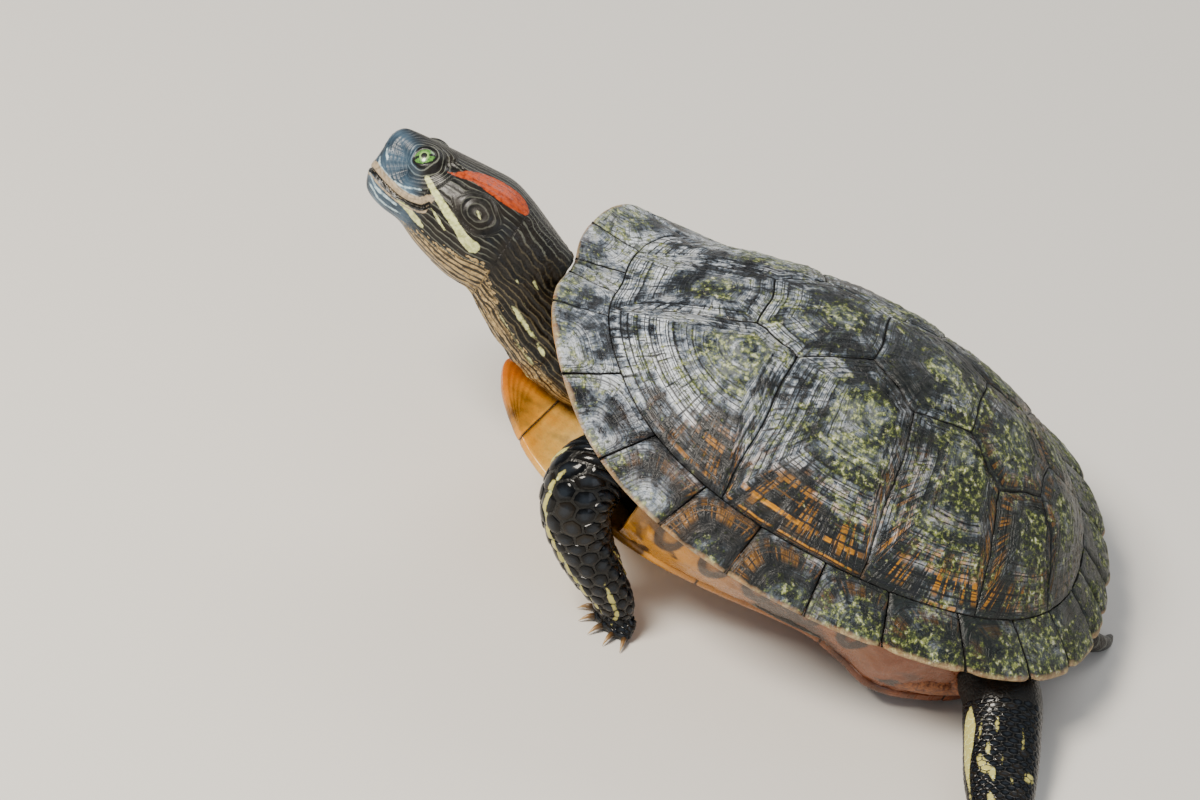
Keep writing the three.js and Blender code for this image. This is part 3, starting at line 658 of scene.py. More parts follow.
# Claw horn: solid keratin, brown at the root and paler and clearer at the tip, lightly streaked.
clawLook = {
    "tones": [(0.1, "#1f1710"), (0.45, "#4e3a24"), (0.8, "#8d6c42"), (1, "#b99a68")],
    "streak": 1.1111,  # mm
    "roughness": 0.3, "relief": 0.0001,
}


def makeClawHorn(name):
    look = clawLook
    material, tree, shader, read = newMaterial(name, ["along"])
    place = addNode(tree, "TexCoord", (), "Object")
    streak = addNode(tree, "TexNoise", {"Vector": place, "Scale": 1 / (look["streak"] * mm),
                                        "Detail": 3})
    tone = addNode(tree, "Math", [streak, 0.3, read["along"]], operation="MULTIPLY_ADD")
    colour = addNode(tree, "ValToRGB", {"Fac": tone}, stops=look["tones"])
    bump = addNode(tree, "Bump", {"Height": streak, "Distance": look["relief"], "Strength": 0.4})
    setInputs(tree, shader, {"Base Color": colour, "Roughness": look["roughness"], "Normal": bump})
    return material


# Leg scales: thick glossy black keratin with a painted slate sheen at the middle of each scale, some
# plates yellow.
scaleLook = {
    # slate is the painted sheen at the middle of each scale
    "black": "#040507", "slate": "#252b33", "brown": "#1f1a13", "pale": "#bcb56a",
    "grain": 1.1111,  # mm
    "gloss": 0.1, "coat": 0.25, "coatRoughness": 0.05, "relief": 0.0001,
}


def makeScaleHorn(name):
    look = scaleLook
    material, tree, shader, read = newMaterial(name, ["edge", "tone", "pale"])
    place = addNode(tree, "TexCoord", (), "Object")
    fine = addNode(tree, "TexNoise", {"Vector": place, "Scale": 1 / (look["grain"] * mm),
                                      "Detail": 4})
    # painted sheen: the middle of each scale is painted slate as its highlight, and its edge is left
    # black
    worn = addNode(tree, "Math", [fine, 0.5, read["edge"]], operation="MULTIPLY_ADD")
    stripe = addNode(tree, "Math", [fine, 0.9, read["pale"]], operation="MULTIPLY_ADD")
    worn, stripe, rough = [addNode(tree, "MapRange", values) for values in (
        (worn, 0.95, 0.5, 0, 0.6), (stripe, 0.3, 0.65, 0, 0.9), (fine, 0.3, 0.7, 0.12, 0.25))]
    colour = addNode(tree, "ValToRGB", {"Fac": read["tone"]}, stops=[
        (0, look["black"]), (0.75, look["black"]), (1, look["brown"])])
    for share, tone in ((worn, look["slate"]), (stripe, look["pale"])):
        colour = addNode(tree, "MixRGB", [share, colour, tone])
    bump = addNode(tree, "Bump", {"Height": fine, "Distance": look["relief"], "Strength": 0.25})
    setInputs(tree, shader, {
        "Base Color": colour, "Roughness": rough, "Normal": bump,
        "Specular IOR Level": look["gloss"], "Coat Weight": look["coat"],
        "Coat Roughness": look["coatRoughness"]})
    return material


horn = makeHorn("scute_keratin", False)
rimHorn = makeHorn("marginal_keratin", True)
bellyHorn = makeBellyHorn("plastron_keratin")
skinMaterial = makeSkin("reptile_skin")
scaleHorn = makeScaleHorn("scale_keratin")
eyeMaterial = makeEyeMaterial("living_eye")
clawHorn = makeClawHorn("claw_horn")

# scutes of the dome

scutes = {
    "columns": 210, "rows": 52,  # round the plate, and from its middle to its seam
    "depth": 4.2,
    "rings": [0.27, 0.36, 0.44, 0.515, 0.585, 0.65, 0.71, 0.765, 0.815, 0.86, 0.9, 0.94],
    # heights in mm
    "ringDepth": 0.13, "ringWidth": 0.45, "ringStep": 0.12, "seamDepth": 0.45, "seamDip": 0.2,
    "crown": 0.45, "sunk": 0.3, "worn": 0.13, "swell": 0.2, "rayLines": 0.1,
    "heart": 0.35, "heartGrain": 0.16,
    "seamHalf": 0.001, "wander": 0.0035,  # half the gap, and how far seams wander, in the plan
    # dark horn with orange low on the flanks: place in the plan, reach along and across, strength
    "blaze": [(-0.12, 0.77, 0.15, 0.1, 1), (-0.38, 0.7, 0.12, 0.13, 0.6),
              (0.04, 0.79, 0.09, 0.07, 0.9)],
    # corners that the plates share, in the plan of the dome: -1 front to 1 rear, half width 1
    "seam": {
        "neck": (-0.86, 0.195), "v1": (-0.43, 0.16), "c12": (-0.29, 0.27), "v2": (-0.08, 0.16),
        "c23": (0.1, 0.27), "v3": (0.28, 0.18), "c34": (0.44, 0.28), "v4": (0.58, 0.1),
        "c45": (0.67, 0.19), "rim12": (-0.29, 1), "rim23": (0.2, 1), "rim34": (0.58, 1),
        "rim45": (0.8, 0.54), "front": (-1, 0.2), "frontOut": (-1, 1), "rear": (1, 0.8),
        "rearOut": (1, 1),
    },
    # name: the corners of the plate or of its right half, and where its oldest part lies
    "vertebral": [
        (["front", "neck", "v1"], -0.59), (["v1", "c12", "v2"], -0.2), (["v2", "c23", "v3"], 0.13),
        (["v3", "c34", "v4"], 0.45), (["v4", "c45", "rim45", "rear"], 0.69),
    ],
    "costal": [
        (["front", "neck", "v1", "c12", "rim12", "frontOut"], (-0.42, 0.29)),
        (["c12", "v2", "c23", "rim23", "rim12"], (0, 0.34)),
        (["c23", "v3", "c34", "rim34", "rim23"], (0.34, 0.29)),
        (["c34", "v4", "c45", "rim45", "rear", "rearOut", "rim34"], (0.6, 0.21)),
    ],
}


# The outline of a plate: its straight seams, cut off by the ring of marginals.
def plateOutline(corners, middle, count):
    corners = np.array(corners, float)
    limit = shell["ringInner"] - scutes["seamHalf"]
    fine = 240  # points on each straight seam
    dense = np.concatenate([
        start + (end - start) * np.linspace(0, 1, fine, endpoint=False)[:, None]
        for start, end in zip(corners, np.roll(corners, -1, 0))
    ])
    rays = dense - middle
    square = (rays ** 2).sum(1)
    across = rays @ middle
    reach = (-across + np.sqrt(across ** 2 - square * (middle @ middle - limit ** 2))) / square
    inside = reach >= 1
    dense = middle + rays * np.minimum(reach, 1)[:, None]
    sharp = [k * fine for k in range(len(corners)) if inside[k * fine]]
    sharp += list(np.flatnonzero(inside != np.roll(inside, 1)))
    # the seams wander a little, the same on both sides
    wander = np.stack([np.sin(dense @ (31, 17) * 1.3), np.sin(dense @ (-19, 37) * 1.3)], -1)
    share = inside * smoothstep(limit - np.hypot(*dense.T), 0, 0.06)
    dense = dense + scutes["wander"] * wander * share[:, None]
    steps = np.linalg.norm(np.roll(dense, -1, 0) - dense, axis=1)
    length = np.concatenate([[0], np.cumsum(steps)])
    at = np.arange(count) * length[-1] / count
    closed = np.vstack([dense, dense[:1]])
    outline = np.stack([np.interp(at, length, closed[:, k]) for k in (0, 1)], -1)
    for k in sharp:
        outline[np.argmin(np.abs(at - length[k]))] = dense[k]
    return outline


# A plate is drawn as rings from its oldest part, the heart, to its seam.
def makeScute(name, corners, middle, seed):
    middle = np.array(middle, float)
    columns, rows = scutes["columns"], scutes["rows"]
    outline = plateOutline(corners, middle, columns)
    rays = outline - middle
    reach = np.linalg.norm(rays, axis=1)
    rays = rays / reach[:, None]
    reach = reach - scutes["seamHalf"]
    even = 1 / np.mean(1 / reach)
    heart = carapacePoint(*middle)
    reachMm = np.linalg.norm(carapacePoint(*outline.T) - heart, axis=1)
    evenMm = reachMm.mean()

    def place(i, j):
        i = i % columns
        t = (j / rows) ** 0.92
        own = smoothstep(t, 0, 0.55)
        r = t * (reach[i] * own + even * (1 - own))
        a, b = (middle + rays[i] * r[:, None]).T
        turn = 2 * math.pi * i / columns
        base = carapacePoint(a, b)
        seamAway = (1 - t) * reachMm[i]
        wave = t + 0.006 * np.sin(3 * turn + seed) + 0.004 * np.sin(7 * turn + 2 * seed)
        rings = sum(bell(wave, at, scutes["ringWidth"] / evenMm) for at in scutes["rings"])
        steps = sum(smoothstep(wave, at - 0.008, at + 0.03) * (-1) ** k
                    for k, at in enumerate(scutes["rings"]))
        lift = scutes["crown"] * (1 - t ** 3) - scutes["sunk"] + scutes["ringStep"] * steps
        lift -= scutes["ringDepth"] * rings * (0.7 + 0.5 * ripple(base, 30, 3))
        lift += scutes["worn"] * ripple(base, 7, 11) + scutes["swell"] * ripple(base, 26, 12)
        wheel = np.stack([9 * np.cos(turn), 9 * np.sin(turn), t * 3], -1)
        lift += scutes["rayLines"] * ripple(wheel, 1.7, 5) * t
        lift += bell(t, 0, 0.2) * (scutes["heart"] + scutes["heartGrain"] * ripple(base, 2.6, 7))
        lift -= (scutes["seamDepth"] * bell(seamAway, 0, 0.5)
                 + scutes["seamDip"] * bell(seamAway, 0, 2))
        return toGround(carapaceAt(a, b, lift)), {
            "ring": t, "seamAway": seamAway,
            "growth": np.stack([np.cos(turn), np.sin(turn), t * evenMm / 10], -1),
            "blaze": np.max([strong * bell(a, x, wide) * bell(np.abs(b), y, high)
                             for x, y, wide, high, strong in scutes["blaze"]], 0),
        }

    piece = warpedGrid(name + "_horn", columns, rows, place)
    mergeDoubles(piece)
    inside = toGround([[heart[0] * 0.4, heart[1] * 0.4, -10]])[0]
    closeOpenEdges(piece, lambda p: p + unit(inside - p) * scutes["depth"])
    finishPiece(piece, horn, [name])


seams = {key: np.array(place) for key, place in scutes["seam"].items()}
flip = np.array([1, -1])
for number, (half, middle) in enumerate(scutes["vertebral"], 1):
    corners = [seams[k] * flip for k in half] + [seams[k] for k in reversed(half)]
    makeScute(f"vertebral_{number}", corners, (middle, 0), number)
for number, (half, middle) in enumerate(scutes["costal"], 1):
    corners = [seams[k] for k in half]
    makeScute(f"costal_right_{number}", corners, middle, number + 5)
    makeScute(f"costal_left_{number}", [c * flip for c in corners], middle * flip, number + 9)
print("scutes of the dome done")

# marginals and nuchal

marginals = {
    "columns": 30, "rows": 56,
    # path round a marginal: share outwards, share of its thickness
    "path": [(0, 0), (0.15, 0), (0.3, 0), (0.45, 0), (0.6, 0), (0.75, 0), (0.88, 0.02), (0.96, 0.09),
             (0.993, 0.28), (1, 0.5), (0.993, 0.74), (0.96, 0.93), (0.88, 0.99), (0.7, 1), (0.5, 1),
             (0.3, 1), (0.1, 1), (0, 0.9), (0, 0.5), (0, 0)],
    "tall": 15, "nuchalWide": 9,  # mm, from the scutes of the dome to the rim, and across
    "seamDepth": 0.7, "seamDip": 0.25, "ringDepth": 0.14, "worn": 0.1, "heart": 0.35,
    "rings": [0.3, 0.42, 0.53, 0.63, 0.72, 0.8, 0.88],
    "blot": (0.86, 0.52, 6.2, 4.6),  # below: its place along and out, half its size in mm
    "blaze": (108, 17, 0.75, 0.3, 0.8),  # degrees and spread, ring and spread, strength
    # names of the runs, first and last of the seams round the rim
    "runs": [("front", 0, 4), ("side", 4, 7), ("rear", 7, 12)],
}


# The ring of marginals: u from the dome to the rim, degrees round it, v through its wedge.
def ringDepth(u, degrees):
    bridge = np.exp(-(((np.abs(degrees) - 92) / 26) ** 4))
    wedge = lerp(shell["ringThickness"], shell["bridgeThickness"], bridge)
    return np.where(u < 0.4, lerp(shell["wall"], wedge, u / 0.4),
                    lerp(wedge, shell["rimThickness"], (u - 0.4) / 0.6))


def ringPlace(u, degrees, side):
    first, second = shell["rimSeams"][:2]
    share = np.where(degrees > first, 0, np.clip((degrees - second) / (first - second), 0, 1))
    turn = np.radians(degrees - share * shell["nuchalSpread"] * (1 - u))
    rho = lerp(shell["ringInner"], 1, u)
    return rho * np.cos(turn), side * rho * np.sin(turn)


def ringPoint(u, v, degrees, side):
    a, b = ringPlace(u, degrees, side)
    return carapaceAt(a, b, -v * ringDepth(u, degrees))


def makeMarginal(name, start, end, side, isNuchal=False):
    columns, rows = marginals["columns"], marginals["rows"]
    path = np.array(marginals["path"])
    knots = np.linspace(0, 1, len(path))
    tall, wide, heartV = marginals["tall"], marginals["nuchalWide"], 0.5
    if not isNuchal:
        first, last = [carapacePoint(*ringPlace(0.9, at, side)) for at in (start, end)]
        wide, heartV = np.linalg.norm(first - last), 0.8

    def place(i, j):
        v, w = i / columns, (j % rows) / rows
        u, share = np.interp(w, knots, path[:, 0]), np.interp(w, knots, path[:, 1])
        if isNuchal:
            half = shell["rimSeams"][0] - shell["nuchalSpread"] * (1 - u) + 0.09
            turn = np.radians(180 + (2 * v - 1) * (180 - half))
            rho = lerp(shell["ringInner"], 1, u)
            a, b = rho * np.cos(turn), -rho * np.sin(turn)
            degrees = np.full(len(v), 180.0)
        else:
            degrees = lerp(start - 0.1, end + 0.1, v)
            a, b = ringPlace(u, degrees, side)
        surface = carapacePoint(a, b)
        seamAway = np.minimum(v, 1 - v) * wide
        away = np.where(v < heartV, (heartV - v) * wide, (v - heartV) * wide * 2.6)
        ring = ((away / (heartV * wide)) ** 4 + (np.maximum(0.95 - u, 0) * tall / 14) ** 4) ** 0.25
        top = share < 0.5
        rings = sum(bell(ring, at, 0.022) for at in marginals["rings"])
        lift = -marginals["ringDepth"] * rings * np.where(top, 1, 0.4)
        lift *= 0.8 + 0.4 * ripple(surface, 24, 3)
        lift += marginals["worn"] * ripple(surface, 6, 11)
        lift += marginals["heart"] * bell(ring, 0, 0.5) * top
        lift -= (marginals["seamDepth"] * bell(seamAway, 0, 0.5)
                 + marginals["seamDip"] * bell(seamAway, 0, 1.6))
        lift -= (0.4 * bell(u * tall, 0, 0.6) + 0.25 * bell(u * tall, 0, 2)) * top
        rise = np.where(top, lift, -lift) - share * ringDepth(u, degrees)
        blotAlong, blotOut, blotLong, blotWide = marginals["blot"]
        blot = 1 - np.hypot((v - blotAlong) * wide / blotLong, (u - blotOut) * tall / blotWide)
        at, spread, ringAt, ringSpread, strong = marginals["blaze"]
        turn = np.arctan2((0.95 - u) * tall, (heartV - v) * wide)
        return toGround(surface + carapaceOut(a, b) * rise[:, None]), {
            "ring": ring, "seamAway": seamAway, "rimAway": (1 - u) * tall,
            "growth": np.stack([np.cos(turn), np.sin(turn), ring * 1.6], -1),
            "under": smoothstep(share, 0.35, 0.8), "blot": blot,
            "blaze": strong * bell(degrees, at, spread) * bell(ring, ringAt, ringSpread),
        }

    piece = warpedGrid(name, columns, rows, place)
    mergeDoubles(piece)
    middle = readPoints(piece).mean(0)
    closeOpenEdges(piece, lambda p: p + (middle - p) * 0.02)
    return piece


for side, sideName in ((-1, "left"), (1, "right")):
    for run, first, last in marginals["runs"]:
        plates = [makeMarginal("plate", *shell["rimSeams"][k:k + 2], side)
                  for k in range(first, last)]
        node = f"marginals_{sideName}_{run}"
        finishPiece(joinPieces(plates, node + "_horn"), rimHorn, [node], 50)
nuchal = makeMarginal("nuchal_horn", 180, 180, 1, isNuchal=True)
finishPiece(nuchal, rimHorn, ["nuchal"], 50)
print("marginals done")

# plastron and bridges

plastron = {
    "thickness": 5, "rearLift": 3.3, "frontLift": 3.5, "round": 1.8,
    "outline": [(-114, 0), (-117.5, 8), (-112, 22), (-98, 38), (-84, 47), (-62, 54), (-38, 57),
                (-12, 55), (18, 51), (34, 55), (47, 60), (61, 55), (77, 44), (91, 29), (98.5, 13),
                (97.5, 0)],
    # where the seams cross: on the midline, and 70 mm out
    "seams": [(-130, -130), (-92, -108), (-60, -66), (-20, -24), (28, 24), (64, 78), (110, 110)],
    "names": ["gular", "humeral", "pectoral", "abdominal", "femoral", "anal"],
    "columns": 110, "rows": 48,
    "gap": 0.15, "seamDepth": 0.35, "ringDepth": 0.07, "worn": 0.08, "keel": 0.5,  # mm
}


# Makes a sheet a closed slab, drawn out along one move.
def thicken(piece, move):
    pickOnly(piece)
    editMode("FACE")
    bpy.ops.mesh.select_all(action="SELECT")
    bpy.ops.mesh.extrude_region_move(TRANSFORM_OT_translate={"value": tuple(np.asarray(move) * mm)})
    bpy.ops.mesh.select_all(action="SELECT")
    bpy.ops.mesh.normals_make_consistent(inside=False)
    bpy.ops.object.mode_set(mode="OBJECT")


plastronEdge = smoothThrough(plastron["outline"], 400)
tips = plastronEdge[:, 0].argmin(), plastronEdge[:, 0].argmax()


def plastronHalf(x):
    return np.interp(x, *plastronEdge[tips[0]:tips[1] + 1].T)


# The front and rear edges, from the midline out.
def plastronEnds(y, rear):
    tip = plastronEdge[tips[1] - 110:][::-1] if rear else plastronEdge[:160]
    return np.interp(np.abs(y), tip[:, 1], tip[:, 0])


def plastronLift(x):
    return (plastron["rearLift"] * np.maximum(0, (x - 70) / 30) ** 2
            + plastron["frontLift"] * np.maximum(0, (-x - 84) / 33) ** 2)


def makePlastronPlate(name, index):
    columns, rows = plastron["columns"], plastron["rows"]
    isFirst, isLast = index == 0, index == len(plastron["names"]) - 1
    (frontMid, frontEdge), (rearMid, rearEdge) = plastron["seams"][index:index + 2]

    def roundedOff(away):
        return plastron["round"] * (1 - np.sqrt(1 - np.clip(1 - away / plastron["round"], 0, 1) ** 2))

    def seamsAt(y):
        out = np.abs(y) / 70
        front = lerp(frontMid, frontEdge, out) + plastron["gap"]
        rear = lerp(rearMid, rearEdge, out) - plastron["gap"]
        if isFirst:
            front = plastronEnds(y, False)
        if isLast:
            rear = plastronEnds(y, True)
        return front, rear

    # how far out the plate reaches, by the place between its seams
    shares = np.linspace(0, 1, 41)
    half = np.full(41, 30.0)
    for _ in range(40):
        front, rear = seamsAt(half)
        half = lerp(half, np.clip(plastronHalf(lerp(front, rear, shares)), 5, 70), 0.5)
    if isFirst or isLast:
        spread = np.linspace(0, 60, 600)
        front, rear = seamsAt(spread)
        half[:] = spread[np.argmax(rear - front < 0.05)]

    def place(i, j):
        s, v = j / rows, 2 * i / columns - 1
        v = np.sign(v) * (1 - (1 - np.abs(v)) ** 1.25)
        y = v * np.interp(s, shares, half)
        front, rear = seamsAt(y)
        x = lerp(front, rear, s)
        middleAway, seamAway = np.abs(y), np.minimum(s, 1 - s) * (rear - front)
        edgeAway = np.interp(s, shares, half) * (1 - np.abs(v))
        if isFirst:
            edgeAway = np.minimum(edgeAway, x - front)
            seamAway = rear - x
        if isLast:
            edgeAway = np.minimum(edgeAway, rear - x)
            seamAway = x - front
        # growth lines run from the corner that lies forward and out
        ring = np.maximum(middleAway / 55, np.abs(s - 0.85))
        lift = plastronLift(x) + roundedOff(edgeAway) + plastron["keel"] * bell(middleAway, 0, 9)
        lift += plastron["seamDepth"] * (bell(middleAway, 0, 0.5) + bell(seamAway, 0, 0.5))
        lift += plastron["ringDepth"] * np.sin(ring * 60)
        lift += plastron["worn"] * ripple(np.stack([x, y, y * 0], -1), 9, 31)
        home = np.stack([x, y, lift], -1)
        points = toGround(home)
        points[:, 2] = np.maximum(points[:, 2], 0)
        return points, {"ring": ring, "seamAway": np.minimum(middleAway, seamAway),
                        "edgeAway": edgeAway, "home": home / 100}

    piece = warpedGrid(name, columns, rows, place)
    mergeDoubles(piece)
    thicken(piece, shellTurn @ (0, 0, plastron["thickness"] - 0.6))
    # the upper side is rounded off to its edge
    home, edge = toShell(readPoints(piece)), readField(piece, "edgeAway")
    top = home[:, 2] > readField(piece, "home")[:, 2] * 100 + 2
    home[:, 2] -= top * (1.3 * roundedOff(edge) + 0.6 * np.exp(-edge / 2.5))
    writePoints(piece, toGround(home))
    finishPiece(piece, bellyHorn, [name.replace("_horn", "")], 50)


for index, plate in enumerate(plastron["names"]):
    makePlastronPlate(f"plastron_{plate}_horn", index)

bridges = {
    "front": 121, "rear": 51,  # degrees round the rim
    "long": 125, "tall": 20, "bulge": 4, "thickness": 4, "columns": 110, "rows": 36,  # mm
    "seams": [0.43, 0.05], "blotches": [0.12, 0.26, 0.4, 0.54, 0.68], "blotchSize": 6.5,
    "drawnDown": 3.5, "drawnIn": 5,  # at the hind leg
}


def makeBridge(name, side):
    columns, rows = bridges["columns"], bridges["rows"]

    def place(i, j):
        along, out = i / columns, j / rows
        degrees = lerp(bridges["front"], bridges["rear"], along)
        top = ringPoint(0.55, 1, degrees, side)
        # towards the hind leg it draws in under the rim
        end = smoothstep(along, 0.86, 1)
        top[:, 1] -= side * bridges["drawnIn"] * end
        top[:, 2] -= bridges["drawnDown"] * end
        low = np.stack([top[:, 0], side * (plastronHalf(top[:, 0]) - 3), along * 0 + 0.4], -1)
        p = lerp(low, top, out[:, None])
        bulge = bridges["bulge"] * np.sin(math.pi * out)
        seam = np.min([np.abs(along - at) for at in bridges["seams"]], 0) * bridges["long"]
        bulge = bulge - 0.6 * bell(seam, 0, 0.6) + 0.15 * ripple(p, 8, 41)
        p[:, 1] += side * bulge * 0.8
        p[:, 2] -= bulge * 0.6
        points = toGround(p)
        points[:, 2] = np.maximum(points[:, 2], 0.1)
        beside = np.min([np.abs(along - at) for at in bridges["blotches"]], 0) * bridges["long"]
        blot = 1 - np.hypot(beside, (out - 0.72) * bridges["tall"]) / bridges["blotchSize"]
        return points, {"blot": np.maximum(blot, 0), "ring": out, "seamAway": seam, "home": p / 100}

    piece = warpedGrid(name, columns, rows, place)
    mergeDoubles(piece)
    thicken(piece, shellTurn @ (0, -side * 0.8, 0.6) * bridges["thickness"])
    finishPiece(piece, bellyHorn, [name.replace("_horn", "")], 50)


makeBridge("bridge_left_horn", -1)
makeBridge("bridge_right_horn", 1)
print("plastron and bridges done")

# flesh

flesh = {
    "voxel": 1.17, "thin": 0.06,  # mm; share of the faces kept where the shell hides the skin
    "coat": 0.7,  # by which the skin lies inside the limbs' sizes, for its scales
    "neck": [  # in the shell's frame: place, half width, half height
        ((-80, 0, 24), 24, 18), ((-99, -2.5, 24), 21, 18), ((-115.5, -5, 31), 17.3, 17.5),
        ((-130.5, -5.5, 40), 15, 16), ((-147, -3, 48), 13, 14),
    ],
    # sections of the head: ahead of its back, half width, height of the crown, depth of the jaw
    "head": [
        (-24, 8, 7, 11), (-17, 12.5, 9.5, 17.5), (-9, 15.6, 12.4, 21.5), (-1, 17.4, 15.2, 23),
        (8, 19.3, 17.2, 24), (17, 19, 16.4, 22.8),
        (26, 17, 15.2, 20.6), (34, 14.4, 14.2, 17.6), (40.5, 11.8, 13.3, 17.4), (46, 9.8, 12.4, 16.4),
        (50.2, 7.8, 11.4, 14.2), (52.6, 5, 8.2, 9.5),
    ],
    "headPlace": (-139, -1, 52.5), "headRoll": -25, "headNod": 5,
    # folds of skin between the bridge and the hind leg, in the shell's frame, left side
    "groin": [((34, -50, 14), 10, 8), ((52, -52, 13), 12, 9), ((70, -44, 13), 11, 8.5),
              ((82, -34, 15), 8, 8)],
    "tail": [
        ((-10, 0, 18), 9, 9), ((5, 0, 13), 8, 8), ((16, 2, 9.5), 6.2, 6.2), ((24, 6, 6.5), 4.4, 4.4),
        ((29, 12, 2.8), 3, 3), ((31, 20, 1.1), 1.4, 1.4),
    ],
}
headTurn = turnX(math.radians(flesh["headRoll"])) @ turnY(math.radians(flesh["headNod"]))


def headToGround(points):
    local = np.asarray(points, float) * (-1, 1, 1)
    return toGround(local @ headTurn.T + flesh["headPlace"])


def groundToHead(points):
    return ((toShell(points) - flesh["headPlace"]) @ headTurn) * (-1, 1, 1)


def foreleg(side, back):
    return [
        ((-143, side * 36, 64), 14, 14), ((-156, side * 55, 66), 14, 13),
        ((-160, side * 63, 57), 13.5, 11.5), ((-157 + back, side * 63, 43), 12.5, 10),
        ((-149 + back, side * 62, 28), 11.5, 8), ((-141.5 + back, side * 59.5, 16), 8.8, 6.5),
        ((-140 + back, side * 57, 7), 8.5, 5),
    ]


# paths in mm over the ground, with half width and half height; headings in degrees
legs = {
    "foreleg_left": {"path": foreleg(-1, 0), "up": (0.2, 1, 0.3), "heading": 232, "foot": "fore"},
    "foreleg_right": {"path": foreleg(1, 5), "up": (0.2, -1, 0.3), "heading": 128, "foot": "fore"},
    "hindleg_left": {
        "path": [((-24, -30, 26), 15, 13), ((-4, -50, 22), 15, 13), ((2, -66, 15), 14.5, 11),
                 ((6, -84, 9.5), 13.5, 9), ((10, -101, 6.5), 11, 6.6), ((14, -116, 4), 12, 4.2)],
        "up": (0, 0, 1), "heading": 287, "foot": "hind",
    },
    "hindleg_right": {
        "path": [((-28, 30, 26), 15, 13), ((-12, 50, 22), 15, 13), ((-8, 64, 14), 14, 11),
                 ((-15, 76, 9.5), 12.5, 9), ((-20, 86, 6.5), 11, 6.6), ((-21, 96, 4), 12, 4.2)],
        "up": (0, 0, 1), "heading": 95, "foot": "hind",
    },
}
# the toes' fan in degrees, the rest in mm; "web" is how far it reaches along the toes
feet = {
    "fore": {"fan": 80, "spread": 10, "toe": 7.5, "claw": 6.5, "thick": 2.9, "web": 0.6},
    "hind": {"fan": 64, "spread": 15, "toe": 19, "claw": 7.5, "thick": 2.8, "web": 0.85},
    "count": 5, "webThickness": 2.8,
}


# Places, sides and sizes along a limb, at count even steps of its path.
def limbFrames(stations, up, count, inShell=False):
    rows = smoothThrough([[*place, wide, high] for place, wide, high in stations], count)
    path = toGround(rows[:, :3]) if inShell else rows[:, :3]
    tangent = unit(np.gradient(path, axis=0))
    across = unit(np.cross(tangent, up))
    over = unit(np.cross(across, tangent))
    length = np.concatenate([[0], np.cumsum(np.linalg.norm(np.diff(path, axis=0), axis=1))])
    return path, tangent, across, over, rows[:, 3:], length


# Shares along a limb, degrees round it and the distance from its path, for points near it.
def roundLimb(frames, points):
    path, tangent, across, over, size, length = frames
    nearest = np.empty(len(points), int)
    for k in range(0, len(points), 20000):
        part = points[k:k + 20000, None] - path[None]
        nearest[k:k + 20000] = (part ** 2).sum(2).argmin(1)
    rel = points - path[nearest]
    turn = np.degrees(np.arctan2((rel * over[nearest]).sum(1) / size[nearest, 1],
                                 (rel * across[nearest]).sum(1) / size[nearest, 0]))
    return length[nearest] / length[-1], turn % 360, np.linalg.norm(rel, axis=1), size[nearest, 0]


# A tube along a limb, its ends rounded off over a share of its length.
def nearNeck(away, size):
    return away < size * 1.35 + 2


def makeTube(name, frames, around, shrink, roundStart, roundEnd):
    path, tangent, across, over, size, length = frames
    count = len(path) - 1
    t = np.linspace(0, 1, count + 1)
    close = np.ones(count + 1)
    for end, share in ((t, roundStart), (1 - t, roundEnd)):
        near = np.clip(end / share, 0, 1)
        close = close * np.sqrt(1 - (1 - near) ** 2)

    def place(i, j):
        turn = 2 * math.pi * i / around
        wide = (size[j, 0] - shrink) * close[j]
        high = (size[j, 1] - shrink) * close[j]
        return (path[j] + across[j] * (np.cos(turn) * wide)[:, None]
                + over[j] * (np.sin(turn) * high)[:, None]), {}

    piece = warpedGrid(name, around, count, place)
    mergeDoubles(piece)
    return piece


# Start, knuckle and tip of each toe, and the way it points.
def toePaths(leg):
    foot = feet[legs[leg]["foot"]]
    palm = np.array(legs[leg]["path"][-1][0], float)
    heading = math.radians(legs[leg]["heading"])
    across = np.array([-math.sin(heading), math.cos(heading), 0])
    back = np.array([math.cos(heading), math.sin(heading), 0]) * foot["spread"] * 0.4
    toes = []
    for k in range(feet["count"]):
        share = k / (feet["count"] - 1) - 0.5
        turn = heading + math.radians(foot["fan"] * share)
        out = np.array([math.cos(turn), math.sin(turn), 0])
        start = palm + across * share * foot["spread"] - back
        tip = start + out * foot["toe"] * (1 - share * share)
        tip[2] = foot["thick"] * 0.68
        knuckle = lerp(start, tip, 0.5)
        knuckle[2] = lerp(start[2], tip[2], 0.4) + 0.5
        toes.append((start, knuckle, tip, out))
    return toes


# The web between the toes, a sheet that Solidify makes thick.
def makeWeb(foot, toes, palm):
    columns, rows = 40, 12
    starts = np.array([toe[0] for toe in toes])
    tips = np.array([lerp(palm, toe[2], foot["web"]) for toe in toes])

    def place(i, j):
        at = i / columns * (feet["count"] - 1)
        k = np.minimum(at.astype(int), feet["count"] - 2)
        f = (at - k)[:, None]
        edge = lerp(lerp(tips[k], tips[k + 1], f), palm, 0.22 * np.sin(math.pi * f))
        points = lerp(lerp(starts[k], starts[k + 1], f), edge, (j / rows)[:, None])
        points[:, 2] = lerp(3.2, 1.5, j / rows)
        return points, {}

    web = warpedGrid("web", columns, rows, place)
    addModifier(web, "SOLIDIFY", thickness=feet["webThickness"] * mm, offset=0)
    return web


